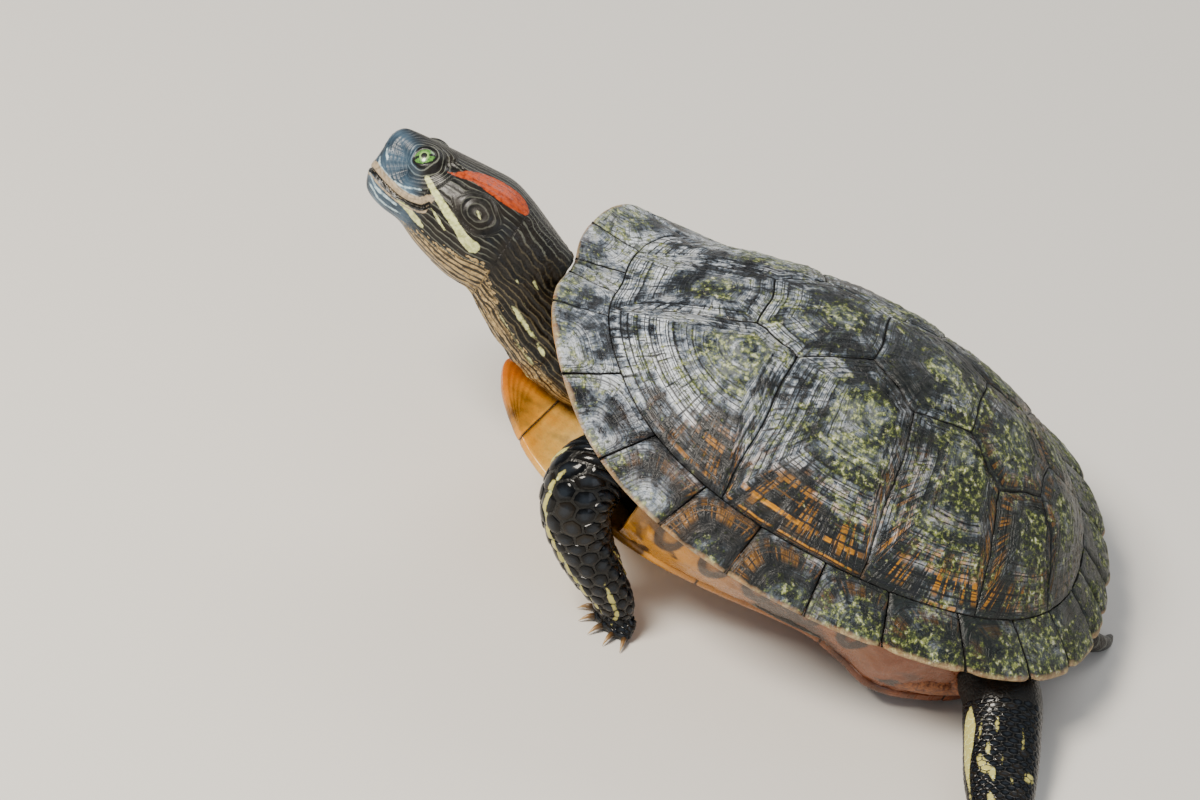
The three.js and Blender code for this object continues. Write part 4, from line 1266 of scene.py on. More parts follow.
raw = []
neckFrames = limbFrames(flesh["neck"], (0, 0, 1), 60, inShell=True)
raw.append(makeTube("neck", neckFrames, 48, flesh["coat"], 0.18, 0.18))
legFrames = {}
for leg, data in legs.items():
    legFrames[leg] = limbFrames(data["path"], data["up"], 70)
    raw.append(makeTube(leg, legFrames[leg], 40, flesh["coat"], 0.12, 0.1))
    foot, toes = feet[data["foot"]], toePaths(leg)
    thick = foot["thick"]
    for start, knuckle, tip, out in toes:
        stations = [(start, thick, thick), (knuckle, thick, thick), (tip, thick * 0.8, thick * 0.8),
                    (tip + out * 1.6, thick * 0.5, thick * 0.5)]
        raw.append(makeTube("toe", limbFrames(stations, (0, 0, 1), 22), 16, 0.2, 0.1, 0.25))
    raw.append(makeWeb(foot, toes, np.array(data["path"][-1][0], float)))
groinFrames = []
for side in (-1, 1):
    stations = [((x, -y * side, z), wide, high) for (x, y, z), wide, high in flesh["groin"]]
    groinFrames.append(limbFrames(stations, (0, 0, 1), 40, inShell=True))
    raw.append(makeTube("groin", groinFrames[-1], 32, flesh["coat"], 0.25, 0.25))
tailFrames = limbFrames(flesh["tail"], (0, 0, 1), 60)
raw.append(makeTube("tail", tailFrames, 24, 0.2, 0.1, 0.1))


def makeHead():
    columns, rows = 96, 92
    sections = smoothThrough(flesh["head"], rows - 1)

    def place(i, j):
        turn = 2 * math.pi * i / columns
        # slightly boxier than an ellipse, closed at both ends
        x, z = [np.sign(w) * np.abs(w) ** 0.9 for w in (np.cos(turn), np.sin(turn))]
        ahead, *sizes = sections[np.clip(j - 1, 0, rows - 2)].T
        half, crown, jaw = (np.array(sizes) - 0.4) * ((j > 0) & (j < rows))
        return headToGround(np.stack([ahead, half * x, np.where(z > 0, crown, jaw) * z], -1)), {}

    head = warpedGrid("head", columns, rows, place)
    mergeDoubles(head)
    return head


raw.append(makeHead())
trunkSteps = (72, 40)


def trunkPlace(i, j):
    turn, w = 2 * math.pi * i / trunkSteps[0], j / trunkSteps[1]
    rho = 0.79 * np.minimum(1, np.sin(math.pi * w) * 1.02)  # out to the rim and back
    a, b = rho * np.cos(turn), rho * np.sin(turn)
    under = carapacePoint(a, b)
    top = carapaceAt(a, b, np.full(len(a), -(shell["wall"] + 1.2)))
    low = np.stack([under[:, 0] * 0.93, under[:, 1] * 0.86,
                    plastronLift(under[:, 0]) + plastron["thickness"] + 1.0], -1)
    return toGround(lerp(low, top, smoothstep(w, 0.44, 0.56)[:, None])), {}


trunk = warpedGrid("trunk", *trunkSteps, trunkPlace)
mergeDoubles(trunk)
skin = joinPieces([*raw, trunk], "skin")
addModifier(skin, "REMESH", mode="VOXEL", voxel_size=flesh["voxel"] * mm, adaptivity=0)
addModifier(skin, "SMOOTH", factor=0.5, iterations=5)
# the nape and throat run smoothly into the neck
local = groundToHead(readPoints(skin))
nape = skin.vertex_groups.new(name="nape")
loose = 0.9 * bell(local[:, 0], -7, 9) * (np.abs(local[:, 1]) < 26) * (np.abs(local[:, 2]) < 30)
for step in range(1, 10):
    found = np.flatnonzero(np.rint(loose * 10) == step)
    nape.add(found.tolist(), step / 10, "REPLACE")
addModifier(skin, "SMOOTH", factor=0.5, iterations=40, vertex_group="nape")
skin.vertex_groups.clear()
print("skin remeshed:", len(skin.data.vertices), "points")


# Where points in the shell's frame lie in the plan of the dome.
def planPlace(points):
    a, b = points[:, 0] / shell["halfLength"], points[:, 1] / shell["halfWidth"]
    target = points[:, :2]
    for _ in range(6):
        now = carapacePoint(a, b)[:, :2]
        a = a + (target[:, 0] - now[:, 0]) / shell["halfLength"]
        b = b + (target[:, 1] - now[:, 1]) / shell["halfWidth"]
    return a, b


# Keeps flesh out of the shell: under the dome and the ring, over the plastron, over the ground.
def keepClear(points):
    home = toShell(points)
    a, b = planPlace(home)
    rho, degrees = np.hypot(a, b), np.degrees(np.abs(np.arctan2(b, a)))
    u = np.clip((rho - shell["ringInner"]) / (1 - shell["ringInner"]), 0, 1)
    depth = np.where(rho < shell["ringInner"], shell["wall"] + 0.8, ringDepth(u, degrees) + 0.6)
    ceiling = carapacePoint(a, b)[:, 2] - depth
    home[:, 2] = np.where(rho < 1, np.minimum(home[:, 2], ceiling), home[:, 2])
    shelf = plastronLift(home[:, 0]) + plastron["thickness"] + 0.5
    over = (np.abs(home[:, 1]) < plastronHalf(home[:, 0])) & (home[:, 0] > -113) & (home[:, 0] < 96)
    over &= home[:, 2] > -4
    home[:, 2] = np.where(over, np.maximum(home[:, 2], shelf), home[:, 2])
    points = toGround(home)
    points[:, 2] = np.maximum(points[:, 2], 0)
    return points


# the hidden inside of the trunk needs few faces
points = keepClear(readPoints(skin))
writePoints(skin, points)
home = toShell(points)
pickOnly(skin)
selectWhere(skin, (np.hypot(*planPlace(home)) < 0.72) & (home[:, 0] > -84))
editMode()
bpy.ops.mesh.decimate(ratio=flesh["thin"])
bpy.ops.object.mode_set(mode="OBJECT")
print("skin thinned inside the shell:", len(skin.data.vertices), "points")

# the head and neck are refined for lids, lips and folds
points = readPoints(skin)
ahead, aside, tall = groundToHead(points).T
chosen = (ahead > -4) & (np.abs(aside) < 24) & (np.abs(tall) < 26)
share, turn, away, size = roundLimb(neckFrames, points)
chosen |= nearNeck(away, size) & (share > 0.28) & (share < 0.98)
pickOnly(skin)
selectWhere(skin, chosen)
editMode()
bpy.ops.mesh.subdivide(number_cuts=1)
bpy.ops.object.mode_set(mode="OBJECT")
addModifier(skin, "SMOOTH", factor=0.5, iterations=2)
print("skin refined on the head:", len(skin.data.vertices), "points")

face = {
    # in the head's own millimetres: ahead, out to the side, up
    "eye": (36.6, 7.5, 6.1), "eyeRadius": 6.2, "gaze": (0.42, 0.75, 0.48),
    "eyeUp": (0.537, -0.647, 0.541), "opening": (3.5, 2.3),
    "mouth": [(53, 0, -7), (52.1, 3.8, -7.2), (50.6, 6.1, -6.8), (45, 8.8, -7.9),
              (38.9, 10.8, -8.4), (34.1, 12.8, -7.6), (30.2, 14.8, -5.9), (28.5, 15.7, -3.4)],
    "mouthDepth": 1, "lip": 0.35, "chin": 0.2, "mouthLevel": -7.6,
    "nostril": (52.6, 2.4, 4.6), "nostrilSize": 0.8, "nostrilDepth": 1.3,
    "ear": (13, 18.5, 4.4), "earSize": 5.4, "earDepth": 0.3,
    # lengthwise folds of the neck (how often round it, share, stray) and rolls across it
    "folds": [(29, 0.6, 2.2), (47, 0.4, -2)], "foldDepth": 0.48, "rolls": 60, "rollDepth": 0.4,
    "throat": [(0, -9.5), (6.3, -11.2), (13.2, -13.4), (22.4, -14.8), (31.5, -15.9), (38, -18)],
}


# The head's own place of points, the right half folded onto the left.
def foldedHead(points):
    local = groundToHead(points)
    local[:, 1] = np.abs(local[:, 1])
    return local


# Distance to the line of the mouth, the share of it that is nearest, and its height there.
def mouthField(folded, count=120):
    away, share, height = np.full((3, len(folded)), ((30.0,), (0,), (-99,)))
    zone = np.flatnonzero((folded[:, 0] > 18) & (folded[:, 1] < 24) & (np.abs(folded[:, 2]) < 24))
    dense = smoothThrough(face["mouth"], count)
    tree = BVHTree.FromPolygons(
        [*dense, *(dense + (0, 0, 1e-4))],
        [(i, i + 1, i + 1 + count, i + count) for i in range(count - 1)])
    for k in zone:
        nearest, _, index, away[k] = tree.find_nearest(folded[k])
        share[k], height[k] = index / (count - 1), nearest[2]
    return away, share, height


points = readPoints(skin)
folded = foldedHead(points)
away, share, height = mouthField(folded)
above = folded[:, 2] > face["mouthLevel"]
lift = -face["mouthDepth"] * bell(away, 0, 0.6) * smoothstep(1.02 - share, 0, 0.05)
lift += np.where(above, face["lip"] * bell(away, 1.6, 1.1), face["chin"] * bell(away, 1.3, 0.8))
nostril = np.linalg.norm(folded - face["nostril"], axis=1)
lift += 0.25 * bell(nostril, 1.7, 0.7)
lift -= face["nostrilDepth"] * bell(nostril, 0, face["nostrilSize"])
ear = np.linalg.norm(folded - face["ear"], axis=1)
lift -= face["earDepth"] * bell(ear, face["earSize"], 0.8)
lift -= 0.25 * smoothstep(-ear, -face["earSize"], -2)
lift *= folded[:, 0] > -6
share, turn, away, size = roundLimb(neckFrames, points)
wobble = 0.35 * ripple(points, 16, 5) + 0.2 * ripple(points, 7, 6)
folds = sum(strong * np.sin(np.radians(turn) * often + stray * wobble)
            for often, strong, stray in face["folds"])
rolls = np.sin(share * face["rolls"] + 1.5 * wobble) * smoothstep(-share, -0.62, -0.4)
loose = bell(share, 0.62, 0.36) * nearNeck(away, size)
lift += (face["foldDepth"] * folds + face["rollDepth"] * rolls) * loose
points = points + readNormals(skin) * lift[:, None]

# eye sockets and lids
folded = foldedHead(points)
gaze = unit(np.array(face["gaze"]))
# the long axis of the eye lies level with the ground, not along the raised head
eyeUp = unit(np.array(face["eyeUp"]) - gaze * (gaze @ face["eyeUp"]))
eyeAhead = np.cross(gaze, eyeUp)
rel = folded - face["eye"]
p, q, depth = rel @ eyeAhead, rel @ eyeUp, rel @ gaze
wide, high = face["opening"]
radius = np.maximum(np.linalg.norm(rel, axis=1), 1e-6)
ball = face["eyeRadius"]
e = np.hypot(p / wide, q / high) * ball / radius
inFront = (depth > 0.2) & (e < 2.6) & (radius < 14)
# how far the skin lies from the ball's middle, by the place between the slit and the brow
socket = np.interp(e, *zip(*[
    (0, 4.6), (0.88, 4.8), (0.98, ball + 0.1), (1.12, ball + 0.65), (1.5, ball + 0.9),
    (1.9, ball + 0.75), (2.2, ball + 0.5)]))
target = lerp(socket, radius, smoothstep(e, 1.75, 2.3))
# nowhere else may the ball come through
target = np.where(e > 1.1, np.maximum(target, np.minimum(ball + 0.6, radius + 4)), target)
moved = rel * (target / radius)[:, None] + face["eye"]
moved[:, 1] *= np.where(groundToHead(points)[:, 1] < 0, -1, 1)
points = keepClear(np.where(inFront[:, None], headToGround(moved), points))
writePoints(skin, points)
print("face shaped")

# Markings as lines in the head's own millimetres (ahead, out to the side, up) with half widths.
markings = {
    "pale": [
        [(34.1, 13.7, 3.5, 0.9), (30.2, 15.2, 1.6, 1.2), (25.3, 16.8, -0.3, 1.4),
         (20.4, 17.9, -2.3, 1.6), (16.6, 18.5, -3.8, 1.5), (11.6, 18.6, -6, 1.9),
         (7.8, 18.3, -6.6, 2.3)],
        [(38.8, 10.6, -8.9, 0.4), (37, 11.2, -9.2, 1), (33.5, 12.2, -9.8, 1.3),
         (29.2, 13.4, -10.9, 1.3), (26.6, 14, -11.5, 0.8)],
        [(14.4, 18.4, 5.4, 0.1), (13, 18.5, 4.4, 0.55), (11.2, 18.5, 3, 0.1)],
        [(27.2, 16, -3.9, 0.3), (23.6, 16.8, -5.5, 0.5), (19.2, 17.5, -7.3, 0.4)],
    ],
    "red": [
        [(29.3, 12.6, 9.6, 0.7), (25.1, 12, 11.1, 1.6), (19.7, 10.8, 13.1, 2.9),
         (14.7, 10.8, 13.9, 4.2), (8.6, 11.1, 14.2, 4.7), (3.7, 10, 13.9, 4.2), (0.7, 9.9, 13, 2.6)],
    ],
    "snoutLine": [
        [(51.8, 6, 3.2, 0.45), (50.6, 7, 1.3, 0.5), (47.2, 8.9, -0.9, 0.5), (44.3, 9.9, -2.9, 0.4)],
        [(52, 5.8, -1.2, 0.5), (50.2, 7.1, -3.4, 0.5), (44.8, 9.5, -4.8, 0.5),
         (40, 11.2, -5.4, 0.45), (35.4, 13.1, -4.6, 0.4), (31, 15, -3.2, 0.2)],
        [(42.7, 10.3, -4.6, 0.3), (39.4, 11.6, -4.1, 0.35), (36.2, 13.1, -2.3, 0.35),
         (33.5, 14.1, -0.9, 0.3)],
        [(51.6, 4.5, -8.2, 0.5), (50, 5.9, -9.1, 0.55), (46.7, 6.9, -10.9, 0.6),
         (42.1, 8.5, -11.2, 0.6), (37.8, 9.9, -11.2, 0.5)],
        [(50, 4.5, -11, 0.4), (47.9, 5.7, -12, 0.5), (44.3, 6, -13.8, 0.5),
         (39.8, 7.3, -13.9, 0.5), (35.2, 9.3, -13.1, 0.4)],
    ],
    # along the neck: mm from its root, degrees round it (90 on top), half width
    "neck": [
        [(52.2, 168, 0.4), (48.6, 169, 1.3), (42.7, 171, 1.2), (36.8, 172, 1), (31.9, 178, 1)],
        [(55.8, 122, 0.3), (52.2, 127, 0.5), (46.3, 134, 0.4), (36, 140, 0.4)],
        [(60, 184, 0.3), (52.2, 190, 0.6), (43.9, 195, 0.9), (35.6, 197, 0.9), (29.4, 199, 0.8)],
        [(58.3, 137, 0.25), (52.2, 149, 0.4), (46.3, 157, 0.4), (38, 160, 0.4)],
        [(62, 225, 0.6), (46, 232, 0.8), (24, 238, 0.7)],
    ],
    # along the limbs: share of the length, degrees round it, half width
    "foreleg": [
        [(0.0, 178, 1.0), (0.3, 180, 1.2), (0.6, 184, 1.3), (0.85, 188, 1.2), (1, 190, 0.9)],
        [(0.0, 120, 0.5), (0.35, 128, 0.6), (0.6, 135, 0.4)],
        [(0.1, 228, 0.7), (0.4, 238, 1.2), (0.47, 246, 1.2), (0.63, 254, 1), (0.77, 255, 0.8),
         (0.9, 258, 0.6)],
        [(0.66, 314, 0.2), (0.74, 308, 1), (0.84, 303, 0.9), (0.93, 293, 0.8), (1, 281, 0.7)],
        [(0.55, 2, 0.2), (0.6, 14, 0.8), (0.65, 24, 0.8), (0.72, 26, 0.3)],
    ],
    "hindleg": [
        [(0.34, 152, 1), (0.41, 156, 2.9), (0.5, 158, 2.5), (0.58, 160, 1.6), (0.66, 160, 0.9),
         (0.8, 164, 0.7), (1, 168, 0.6)],
        [(0.48, 116, 0.2), (0.52, 118, 1.1), (0.56, 116, 0.2)],
        [(0.58, 108, 0.2), (0.62, 110, 1.3), (0.67, 108, 0.3)],
        [(0.69, 118, 0.2), (0.74, 114, 1.4), (0.82, 112, 0.3)],
        [(0.6, 84, 0.1), (0.65, 80, 0.8), (0.7, 82, 0.1)],
        [(0.34, 104, 0.2), (0.42, 107, 0.9), (0.49, 103, 0.2)],
        [(0.36, 130, 0.2), (0.44, 132, 0.8), (0.53, 136, 0.2)],
        [(0.38, 72, 0.2), (0.47, 66, 0.8), (0.56, 68, 0.2)],
        [(0.5, 92, 0.1), (0.56, 95, 0.7), (0.63, 93, 0.1)],
        [(0.3, 12, 0.5), (0.6, 10, 0.8), (0.95, 10, 0.7)],
    ],
}


# How far inside the nearest of the lines each point lies, in millimetres: less than 0 outside.
def insideLines(points, lines):
    best = np.full(len(points), -99.0)
    for line in lines:
        line = smoothThrough(line, 26)
        for start, end in zip(line[:-1], line[1:]):
            step = end[:3] - start[:3]
            share = np.clip((points - start[:3]) @ step / (step @ step), 0, 1)
            away = np.linalg.norm(points - start[:3] - share[:, None] * step, axis=1)
            best = np.maximum(best, lerp(start[3], end[3], share) - away)
    return best


# Places on a limb from shares of its length and degrees round it.
def onLimb(frames, shares, degrees):
    path, tangent, across, over, size, length = frames
    at = np.clip(np.asarray(shares, float), 0, 1) * (len(path) - 1)
    i = np.minimum(at.astype(int), len(path) - 2)
    f = (at - i)[:, None]
    turn = np.radians(degrees)[:, None]
    middle, size = lerp(path[i], path[i + 1], f), lerp(size[i], size[i + 1], f)
    return (middle + lerp(across[i], across[i + 1], f) * np.cos(turn) * size[:, :1]
            + lerp(over[i], over[i + 1], f) * np.sin(turn) * size[:, 1:])


def markLimb(frames, lines, side):
    marks = []
    for line in lines:
        line = smoothThrough(line, 12)
        degrees = line[:, 1] if side < 0 else 180 - line[:, 1]
        marks.append(np.column_stack([onLimb(frames, line[:, 0], degrees), line[:, 2]]))
    return marks


# The marks of a leg: those of the forelegs turn the other way.
def markLeg(leg):
    side, kind = -1 if "left" in leg else 1, legs[leg]["foot"]
    return markLimb(legFrames[leg], markings[kind + "leg"], side if kind == "fore" else -side)


# The fields that the skin's material reads. Markings are in mm inside their edges.
def shadeSkin(points):
    folded = foldedHead(points)
    ahead, aside, tall = folded.T
    forward = ahead + 0.55 * (4 - tall)  # the snout's colour ends along a slanting line
    share, turn, away, size = roundLimb(neckFrames, points)
    onHead = smoothstep(ahead, -6, 3) * (aside < 26) * (np.abs(tall) < 28)
    onNeck = nearNeck(away, size) * (1 - onHead)
    pale, red, snoutLine = [insideLines(folded, markings[key])
                            for key in ("pale", "red", "snoutLine")]
    for side in (-1, 1):
        lines = [[(s / neckFrames[5][-1], degrees, half) for s, degrees, half in line]
                 for line in markings["neck"]]
        pale = np.maximum(pale, insideLines(points, markLimb(neckFrames, lines, side)))
    # tan throat and underside of the neck
    fromUnder = np.abs((turn - 270 + 180) % 360 - 180)
    tanHalf = 72 + 24 * smoothstep(share, 0.6, 0.85)
    under = np.radians(tanHalf - fromUnder) * size
    throat = np.minimum(np.interp(ahead, *zip(*face["throat"])) - tall, 36 - ahead)
    tan = lerp(under, throat, onHead)
    tan = np.where((onHead + onNeck) > 0.5, tan, -9)
    # fine lines run round the eye and the ear, and lengthwise elsewhere
    eyeAway = np.linalg.norm(folded - face["eye"] - unit(np.array(face["gaze"])) * 4, axis=1)
    eyeAway = eyeAway + 0.25 * ripple(folded, 7, 8)
    earAway = np.linalg.norm((folded - face["ear"]) * (0.85, 1, 1.2), axis=1)
    earAway = earAway + 0.45 * ripple(folded, 8, 9)
    roundEye = np.maximum(smoothstep(-eyeAway, -12, -10.5), smoothstep(ahead, 29, 32))
    roundEar = smoothstep(-earAway, -8.5, -7)
    lengthwise = np.arctan2(tall + 2, aside) * 17
    flow = lerp(lerp(lengthwise, earAway, roundEar), eyeAway * 1.5, roundEye)
    alongNeck = np.radians(turn) * 14.5
    alongNeck = alongNeck + 0.35 * ripple(points, 15, 5) + 0.22 * ripple(points, 7, 6)
    flow = lerp(alongNeck, flow, np.round(onHead))
    # they fade where two ways meet, on the ear, on the top of the neck and on the snout
    faint = (1 - 4 * roundEye * (1 - roundEye)) * (1 - 4 * roundEar * (1 - roundEar))
    faint = faint * (1 - bell(ahead, -1.5, 3) * (onHead + onNeck > 0.5))
    faint = faint * lerp(0.6, 1, np.maximum(roundEar, smoothstep(-eyeAway, -9, -7)))
    faint = faint * (1 - 0.65 * roundEar) * (1 - 0.5 * onNeck * smoothstep(fromUnder, 95, 135))
    faint = faint * (1 - 0.8 * smoothstep(forward, 33, 40) * smoothstep(eyeAway, 6, 8))
    mouthAway, _, mouthHeight = mouthField(folded)
    beak = np.where(tall > mouthHeight, 3.5 - mouthAway, 0.4 - np.abs(mouthAway - 1.6))
    beak = np.minimum(beak, ahead - 28)
    nostrilAway = np.linalg.norm(folded - face["nostril"], axis=1)
    dark = np.max([1.05 - mouthAway, 0.75 - nostrilAway, 4.6 - eyeAway], 0)
    snout = smoothstep(forward, 34, 43) * smoothstep(-tall, -13, -8)
    home = toShell(points)
    groin = np.full(len(points), -9.0)
    for frames in groinFrames:
        share, turn, away, size = roundLimb(frames, points)
        groin = np.maximum(groin, size * 1.02 - away)
    groin = np.where((home[:, 0] > 26) & (home[:, 2] < 26), groin + 1.5, -9)
    onLegs = np.zeros(len(points))
    for leg, frames in legFrames.items():
        share, turn, away, size = roundLimb(frames, points)
        near = (away < size * 1.5 + 3) & (onHead + onNeck < 0.5)
        pale[near] = np.maximum(pale[near], insideLines(points[near], markLeg(leg)))
        onLegs[near] = 1
    marks = {"pale": pale, "red": red, "snoutLine": snoutLine, "dark": dark, "tan": tan}
    return {**{key: np.clip(inside, -9, 20) for key, inside in marks.items()},
            "beak": beak, "groin": groin, "snout": snout, "flow": flow, "faint": faint,
            "legs": onLegs, "onNeck": onNeck, "scaly": 1 - 0.9 * onHead}


for field, values in shadeSkin(points).items():
    writeField(skin, field, values)
legNodes = [f"{leg}_{part}" for leg in legs for part in ("upper", "lower", "foot")]
finishPiece(skin, skinMaterial, ["trunk", "neck", "head", "jaw_lower", "tail", *legNodes], 60)
print("markings laid on the skin")

# eyes


def makeEye(name, side):
    bpy.ops.object.select_all(action="DESELECT")
    bpy.ops.mesh.primitive_uv_sphere_add(segments=72, ring_count=48, radius=1)
    piece = bpy.context.object
    piece.name = name
    ballPoints = readPoints(piece) * mm
    flipSide = np.array([1, side, 1])
    g, u, f = gaze * flipSide, eyeUp * flipSide, eyeAhead * flipSide
    cornea = 1 + 0.07 * smoothstep(ballPoints[:, 2], 0.72, 0.95)
    placed = ballPoints @ [f, u, g] * (cornea * face["eyeRadius"])[:, None]
    placed += np.array(face["eye"]) * flipSide
    writePoints(piece, headToGround(placed))
    writeField(piece, "gaze", ballPoints)
    mergeDoubles(piece, 0.0005)
    finishPiece(piece, eyeMaterial, [name.replace("_ball", "")], 80)


makeEye("eye_left_ball", -1)
makeEye("eye_right_ball", 1)

# claws


# A cone bent down to the ground and narrowed.
def makeClaw(start, out, length, thick):
    bpy.ops.object.select_all(action="DESELECT")
    bpy.ops.mesh.primitive_cone_add(vertices=14, radius1=1, depth=1)
    piece = bpy.context.object
    pickOnly(piece)
    editMode("EDGE")
    bpy.ops.mesh.select_all(action="SELECT")
    bpy.ops.mesh.subdivide(number_cuts=3)
    bpy.ops.object.mode_set(mode="OBJECT")
    cone = readPoints(piece) * mm
    t = cone[:, 2] + 0.5
    across = np.cross(out, (0, 0, 1))
    swell = thick * 0.5 * (1 + 0.5 * t)
    line = start + out * (length * t)[:, None]
    line[:, 2] = start[2] * (1 - t ** 2) + 0.5 * t ** 2 + 0.9 * np.sin(math.pi * t)
    points = line + across * (cone[:, 0] * swell * 0.8)[:, None]
    points[:, 2] += cone[:, 1] * swell
    points[:, 2] = np.maximum(points[:, 2], 0.02)
    writePoints(piece, points)
    dropMaps(piece)
    writeField(piece, "along", t)
    mergeDoubles(piece)
    return piece


for leg, data in legs.items():
    foot = feet[data["foot"]]
    claws = [makeClaw(tip + toeOut * 0.3, toeOut, foot["claw"], foot["thick"])
             for start, knuckle, tip, toeOut in toePaths(leg)]
    finishPiece(joinPieces(claws, leg + "_claws"), clawHorn, (), 60)
print("eyes and claws done")

# scales of the limbs: plates of horn side by side, each a low dome on the skin

coat = {
    # along the limb and round it: how many, from which share of its length, how high in mm,
    # which side has the broad ones (degrees round the limb, left limbs) and how much broader
    "fore": {"rows": 16, "columns": 13, "start": 0.16, "high": 0.65, "face": 290, "broad": 0.35},
    "hind": {"rows": 34, "columns": 20, "start": 0.3, "high": 0.08, "face": 90, "broad": 0.1},
    "toeFore": {"rows": 5, "columns": 8, "start": 0.12, "high": 0.3, "face": 90, "broad": 0.1},
    "toeHind": {"rows": 11, "columns": 8, "start": 0.2, "high": 0.26, "face": 90, "broad": 0.1},
    "stray": 0.17,  # how far a scale strays from its even place, in shares of its size
    # rings of a scale from its foot to its middle: share of its cell, share of its height
    "rings": [(0.93, -0.35), (0.84, 0.58), (0.62, 0.92), (0.3, 1.02)], "top": 1.05,
    "patch": 0.0015,  # half of its patch on the UV map
    "blotchSize": 13,  # mm, pale blotches of the hind legs
    # corner and size of the limb's and of the toes' patches on the map, and the toes' step
    "limbMap": ((0.01, 0.01), (0.98, 0.78)), "toeMap": ((0.01, 0.82), (0.18, 0.16), 0.196),
}
sides = 12  # points of each ring of a scale
scaleSize = sides * len(coat["rings"]) + 1
skinTree = BVHTree.FromPolygons(
    [Vector(p) for p in readPoints(skin)], [tuple(f.vertices) for f in skin.data.polygons])


# Lays the scales of one limb: their points in mm, fields and places on the UV map.
def layScales(frames, key, side, seed, marks, corner, mapSize):
    kind = coat[key]
    rows, columns = kind["rows"], kind["columns"]
    chance = np.random.default_rng(seed)
    stray = chance.uniform(-coat["stray"], coat["stray"], (rows + 2, columns, 2))
    face = kind["face"] if side < 0 else 180 - kind["face"]

    def lattice(r, c):
        along, around = stray[r, c % columns].T
        degrees = 360 * (c + 0.5 * (r % 2) + around) / columns
        degrees = degrees + math.degrees(kind["broad"]) * np.sin(np.radians(degrees - face))
        share = kind["start"] + (1 - kind["start"]) * (r - 0.5 + along) / rows
        return np.stack([share, degrees], -1)

    r, c = [grid.ravel() for grid in np.mgrid[1:rows + 1, 0:columns]]
    odd = r % 2
    middle = lattice(r, c)
    near = [lattice(r, c + 1), lattice(r + 1, c + odd), lattice(r + 1, c + odd - 1),
            lattice(r, c - 1), lattice(r - 1, c + odd - 1), lattice(r - 1, c + odd)]
    corners = [(middle + near[k] + near[(k + 1) % 6]) / 3 for k in range(6)]
    outline = np.stack([
        point for k in range(6)
        for point in (lerp(middle, corners[k], 0.95), (corners[k] + corners[(k + 1) % 6]) / 2)], 1)
    flat = [lerp(middle[:, None], outline, reach) for reach, _ in coat["rings"]]
    flat = np.concatenate([*flat, middle[:, None]], 1)
    edge, high = np.vstack([np.repeat(coat["rings"], sides, 0), (0, coat["top"])]).T

    path, tangent, across, over, size, length = frames
    points, fields, places = [], [], []
    for scale, outlineFlat in enumerate(flat):
        share, degrees = outlineFlat.T
        if middle[scale, 0] > 0.99:
            continue
        rough = onLimb(frames, share, degrees)
        core = onLimb((path, tangent, across, over, size * 0, length), share, degrees)
        out = unit(rough - core)
        hits = [skinTree.ray_cast(Vector(p + d * 6), Vector(-d), 14) for p, d in zip(rough, out)]
        if any(hit[0] is None for hit in hits):
            continue
        found = np.array([hit[0] for hit in hits])
        normal = unit(np.mean([hit[1] for hit in hits], 0))
        if normal @ out.mean(0) < 0.35 or found[-1, 2] < 1.3 or normal[2] < -0.8:
            continue
        tone = chance.uniform()
        mapped = (outlineFlat - middle[scale]) / np.abs(outlineFlat - middle[scale]).max(0)
        tilt = 1 + (0.4 * mapped[:, 0] + 0.25 * (tone - 0.5) * mapped[:, 1]) * (high > 0)
        placed = found + normal * (high * tilt * kind["high"] * (0.8 + 0.4 * tone))[:, None]
        placed[:, 2] = np.maximum(placed[:, 2], 0.02)
        points.append(placed)
        fields.append(np.stack([edge, np.full(scaleSize, tone)], -1))
        home = corner + mapSize * np.array([middle[scale, 1] / 360 % 1, middle[scale, 0]])
        places.append(home + mapped[:, ::-1] * coat["patch"])
    points = np.vstack(points)
    pale = insideLines(points, marks)
    if key in ("hind", "toeHind"):
        pale = np.maximum(pale, 1.5 * ripple(points, coat["blotchSize"], seed) - 2.1)
    return np.column_stack([points, *np.vstack(fields).T, np.maximum(pale, -9), np.vstack(places)])


# faces of a scale: quads between its rings, and a fan at its top
last = scaleSize - 1 - sides
cells = [(k + m, k + (m + 1) % sides, k + sides + (m + 1) % sides, k + sides + m)
         for k in range(0, last, sides) for m in range(sides)]
cells += [(last + m, last + (m + 1) % sides, scaleSize - 1) for m in range(sides)]

for leg, data in legs.items():
    side, kind, marks = -1 if "left" in leg else 1, data["foot"], markLeg(leg)
    batches = [layScales(legFrames[leg], kind, side, len(leg) + side, marks, *coat["limbMap"])]
    thick = feet[kind]["thick"]
    (mapLeft, mapLow), toeMapSize, mapStep = coat["toeMap"]
    for k, (start, knuckle, tip, toeOut) in enumerate(toePaths(leg)):
        stations = [(start, thick, thick), (knuckle, thick, thick), (tip, thick * 0.8, thick * 0.8)]
        batches.append(layScales(limbFrames(stations, (0, 0, 1), 30), "toe" + kind.title(), side,
                                 50 + k, marks, (mapLeft + mapStep * k, mapLow), toeMapSize))
    # domes by the hundred, each fitted to the skin below it, are written as one mesh
    rows = np.vstack(batches)
    mesh = bpy.data.meshes.new(leg + "_scales")
    mesh.from_pydata((rows[:, :3] * mm).tolist(), [], [
        tuple(start + v for v in cell) for start in range(0, len(rows), scaleSize) for cell in cells])
    piece = bpy.data.objects.new(leg + "_scales", mesh)
    bpy.context.scene.collection.objects.link(piece)
    for field, values in zip(("edge", "tone", "pale"), rows[:, 3:6].T):
        writeField(piece, field, values)
    layer = mesh.uv_layers.new(name="OFBake")
    order = np.empty(len(mesh.loops), int)
    mesh.loops.foreach_get("vertex_index", order)
    layer.data.foreach_set("uv", rows[order, 6:].astype(np.float32).ravel())
    finishPiece(piece, scaleHorn, (), 35)
    print(leg, "scales:", len(rows) // scaleSize)

# floor, light and camera

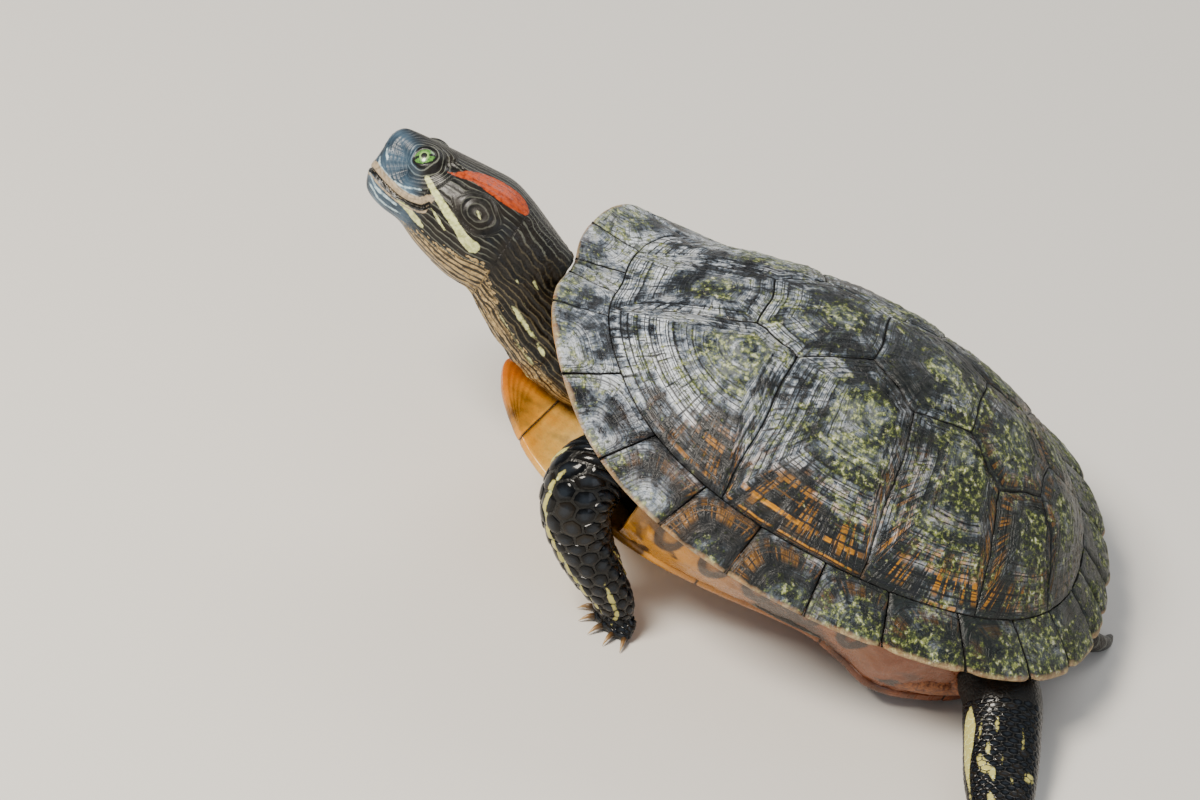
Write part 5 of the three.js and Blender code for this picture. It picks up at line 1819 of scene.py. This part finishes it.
studio = {
    "floorSize": 14, "floorColour": "#d9d6d0", "roughness": 0.85,
    "world": 0.42, "worldColour": "#eef1f4",
    # soft boxes: place and aim in metres, size, watts and colour
    "lights": {
        "key_light": ((-0.75, -0.75, 1.35), (-0.05, 0, 0.05), 0.5, 48, "#fff6e8"),
        "fill_light": ((1.3, -1.2, 0.9), (0, 0, 0.05), 1.2, 7, "#eaf1ff"),
        "back_light": ((0.3, 1.4, 1.3), (0, 0, 0.05), 1, 12, "#ffffff"),
    },
}
bpy.ops.object.select_all(action="DESELECT")
bpy.ops.mesh.primitive_plane_add(size=studio["floorSize"])
floor = bpy.context.object
floor.name = "floor"
# Matt paint: even and pale, without a highlight.
floorPaint, tree, shader, _ = newMaterial("matt_paint")
setInputs(tree, shader, {"Base Color": studio["floorColour"], "Roughness": studio["roughness"]})
floor.data.materials.append(floorPaint)

world = bpy.data.worlds.new("studio")
bpy.context.scene.world = world
world.use_nodes = True
setInputs(world.node_tree, world.node_tree.nodes["Background"],
          {"Color": studio["worldColour"], "Strength": studio["world"]})
for name, (place, target, size, power, colour) in studio["lights"].items():
    bpy.ops.object.light_add(type="AREA", location=place)
    light = bpy.context.object
    light.name = name
    light.rotation_euler = (Vector(target) - Vector(place)).to_track_quat("-Z", "Y").to_euler()
    light.data.shape = "SQUARE"
    light.data.size = size
    light.data.energy = power
    light.data.color = linear(colour)[:3]

view = {
    "place": (-0.02076, -1.01784, 0.85607), "right": (0.9503, 0.2658, 0.1619),
    "down": (0.2899, -0.5673, -0.7708), "lens": 109.5, "sensor": 36,
}
cameraData = bpy.data.cameras.new("camera")
camera = bpy.data.objects.new("camera", cameraData)
bpy.context.scene.collection.objects.link(camera)
right = Vector(view["right"]).normalized()
up = -Vector(view["down"])
up = (up - right * up.dot(right)).normalized()
turned = Matrix((right, up, right.cross(up))).transposed().to_4x4()
camera.matrix_world = Matrix.Translation(view["place"]) @ turned
cameraData.lens = view["lens"]
cameraData.sensor_width = view["sensor"]
cameraData.clip_start = 0.05
bpy.context.scene.camera = camera
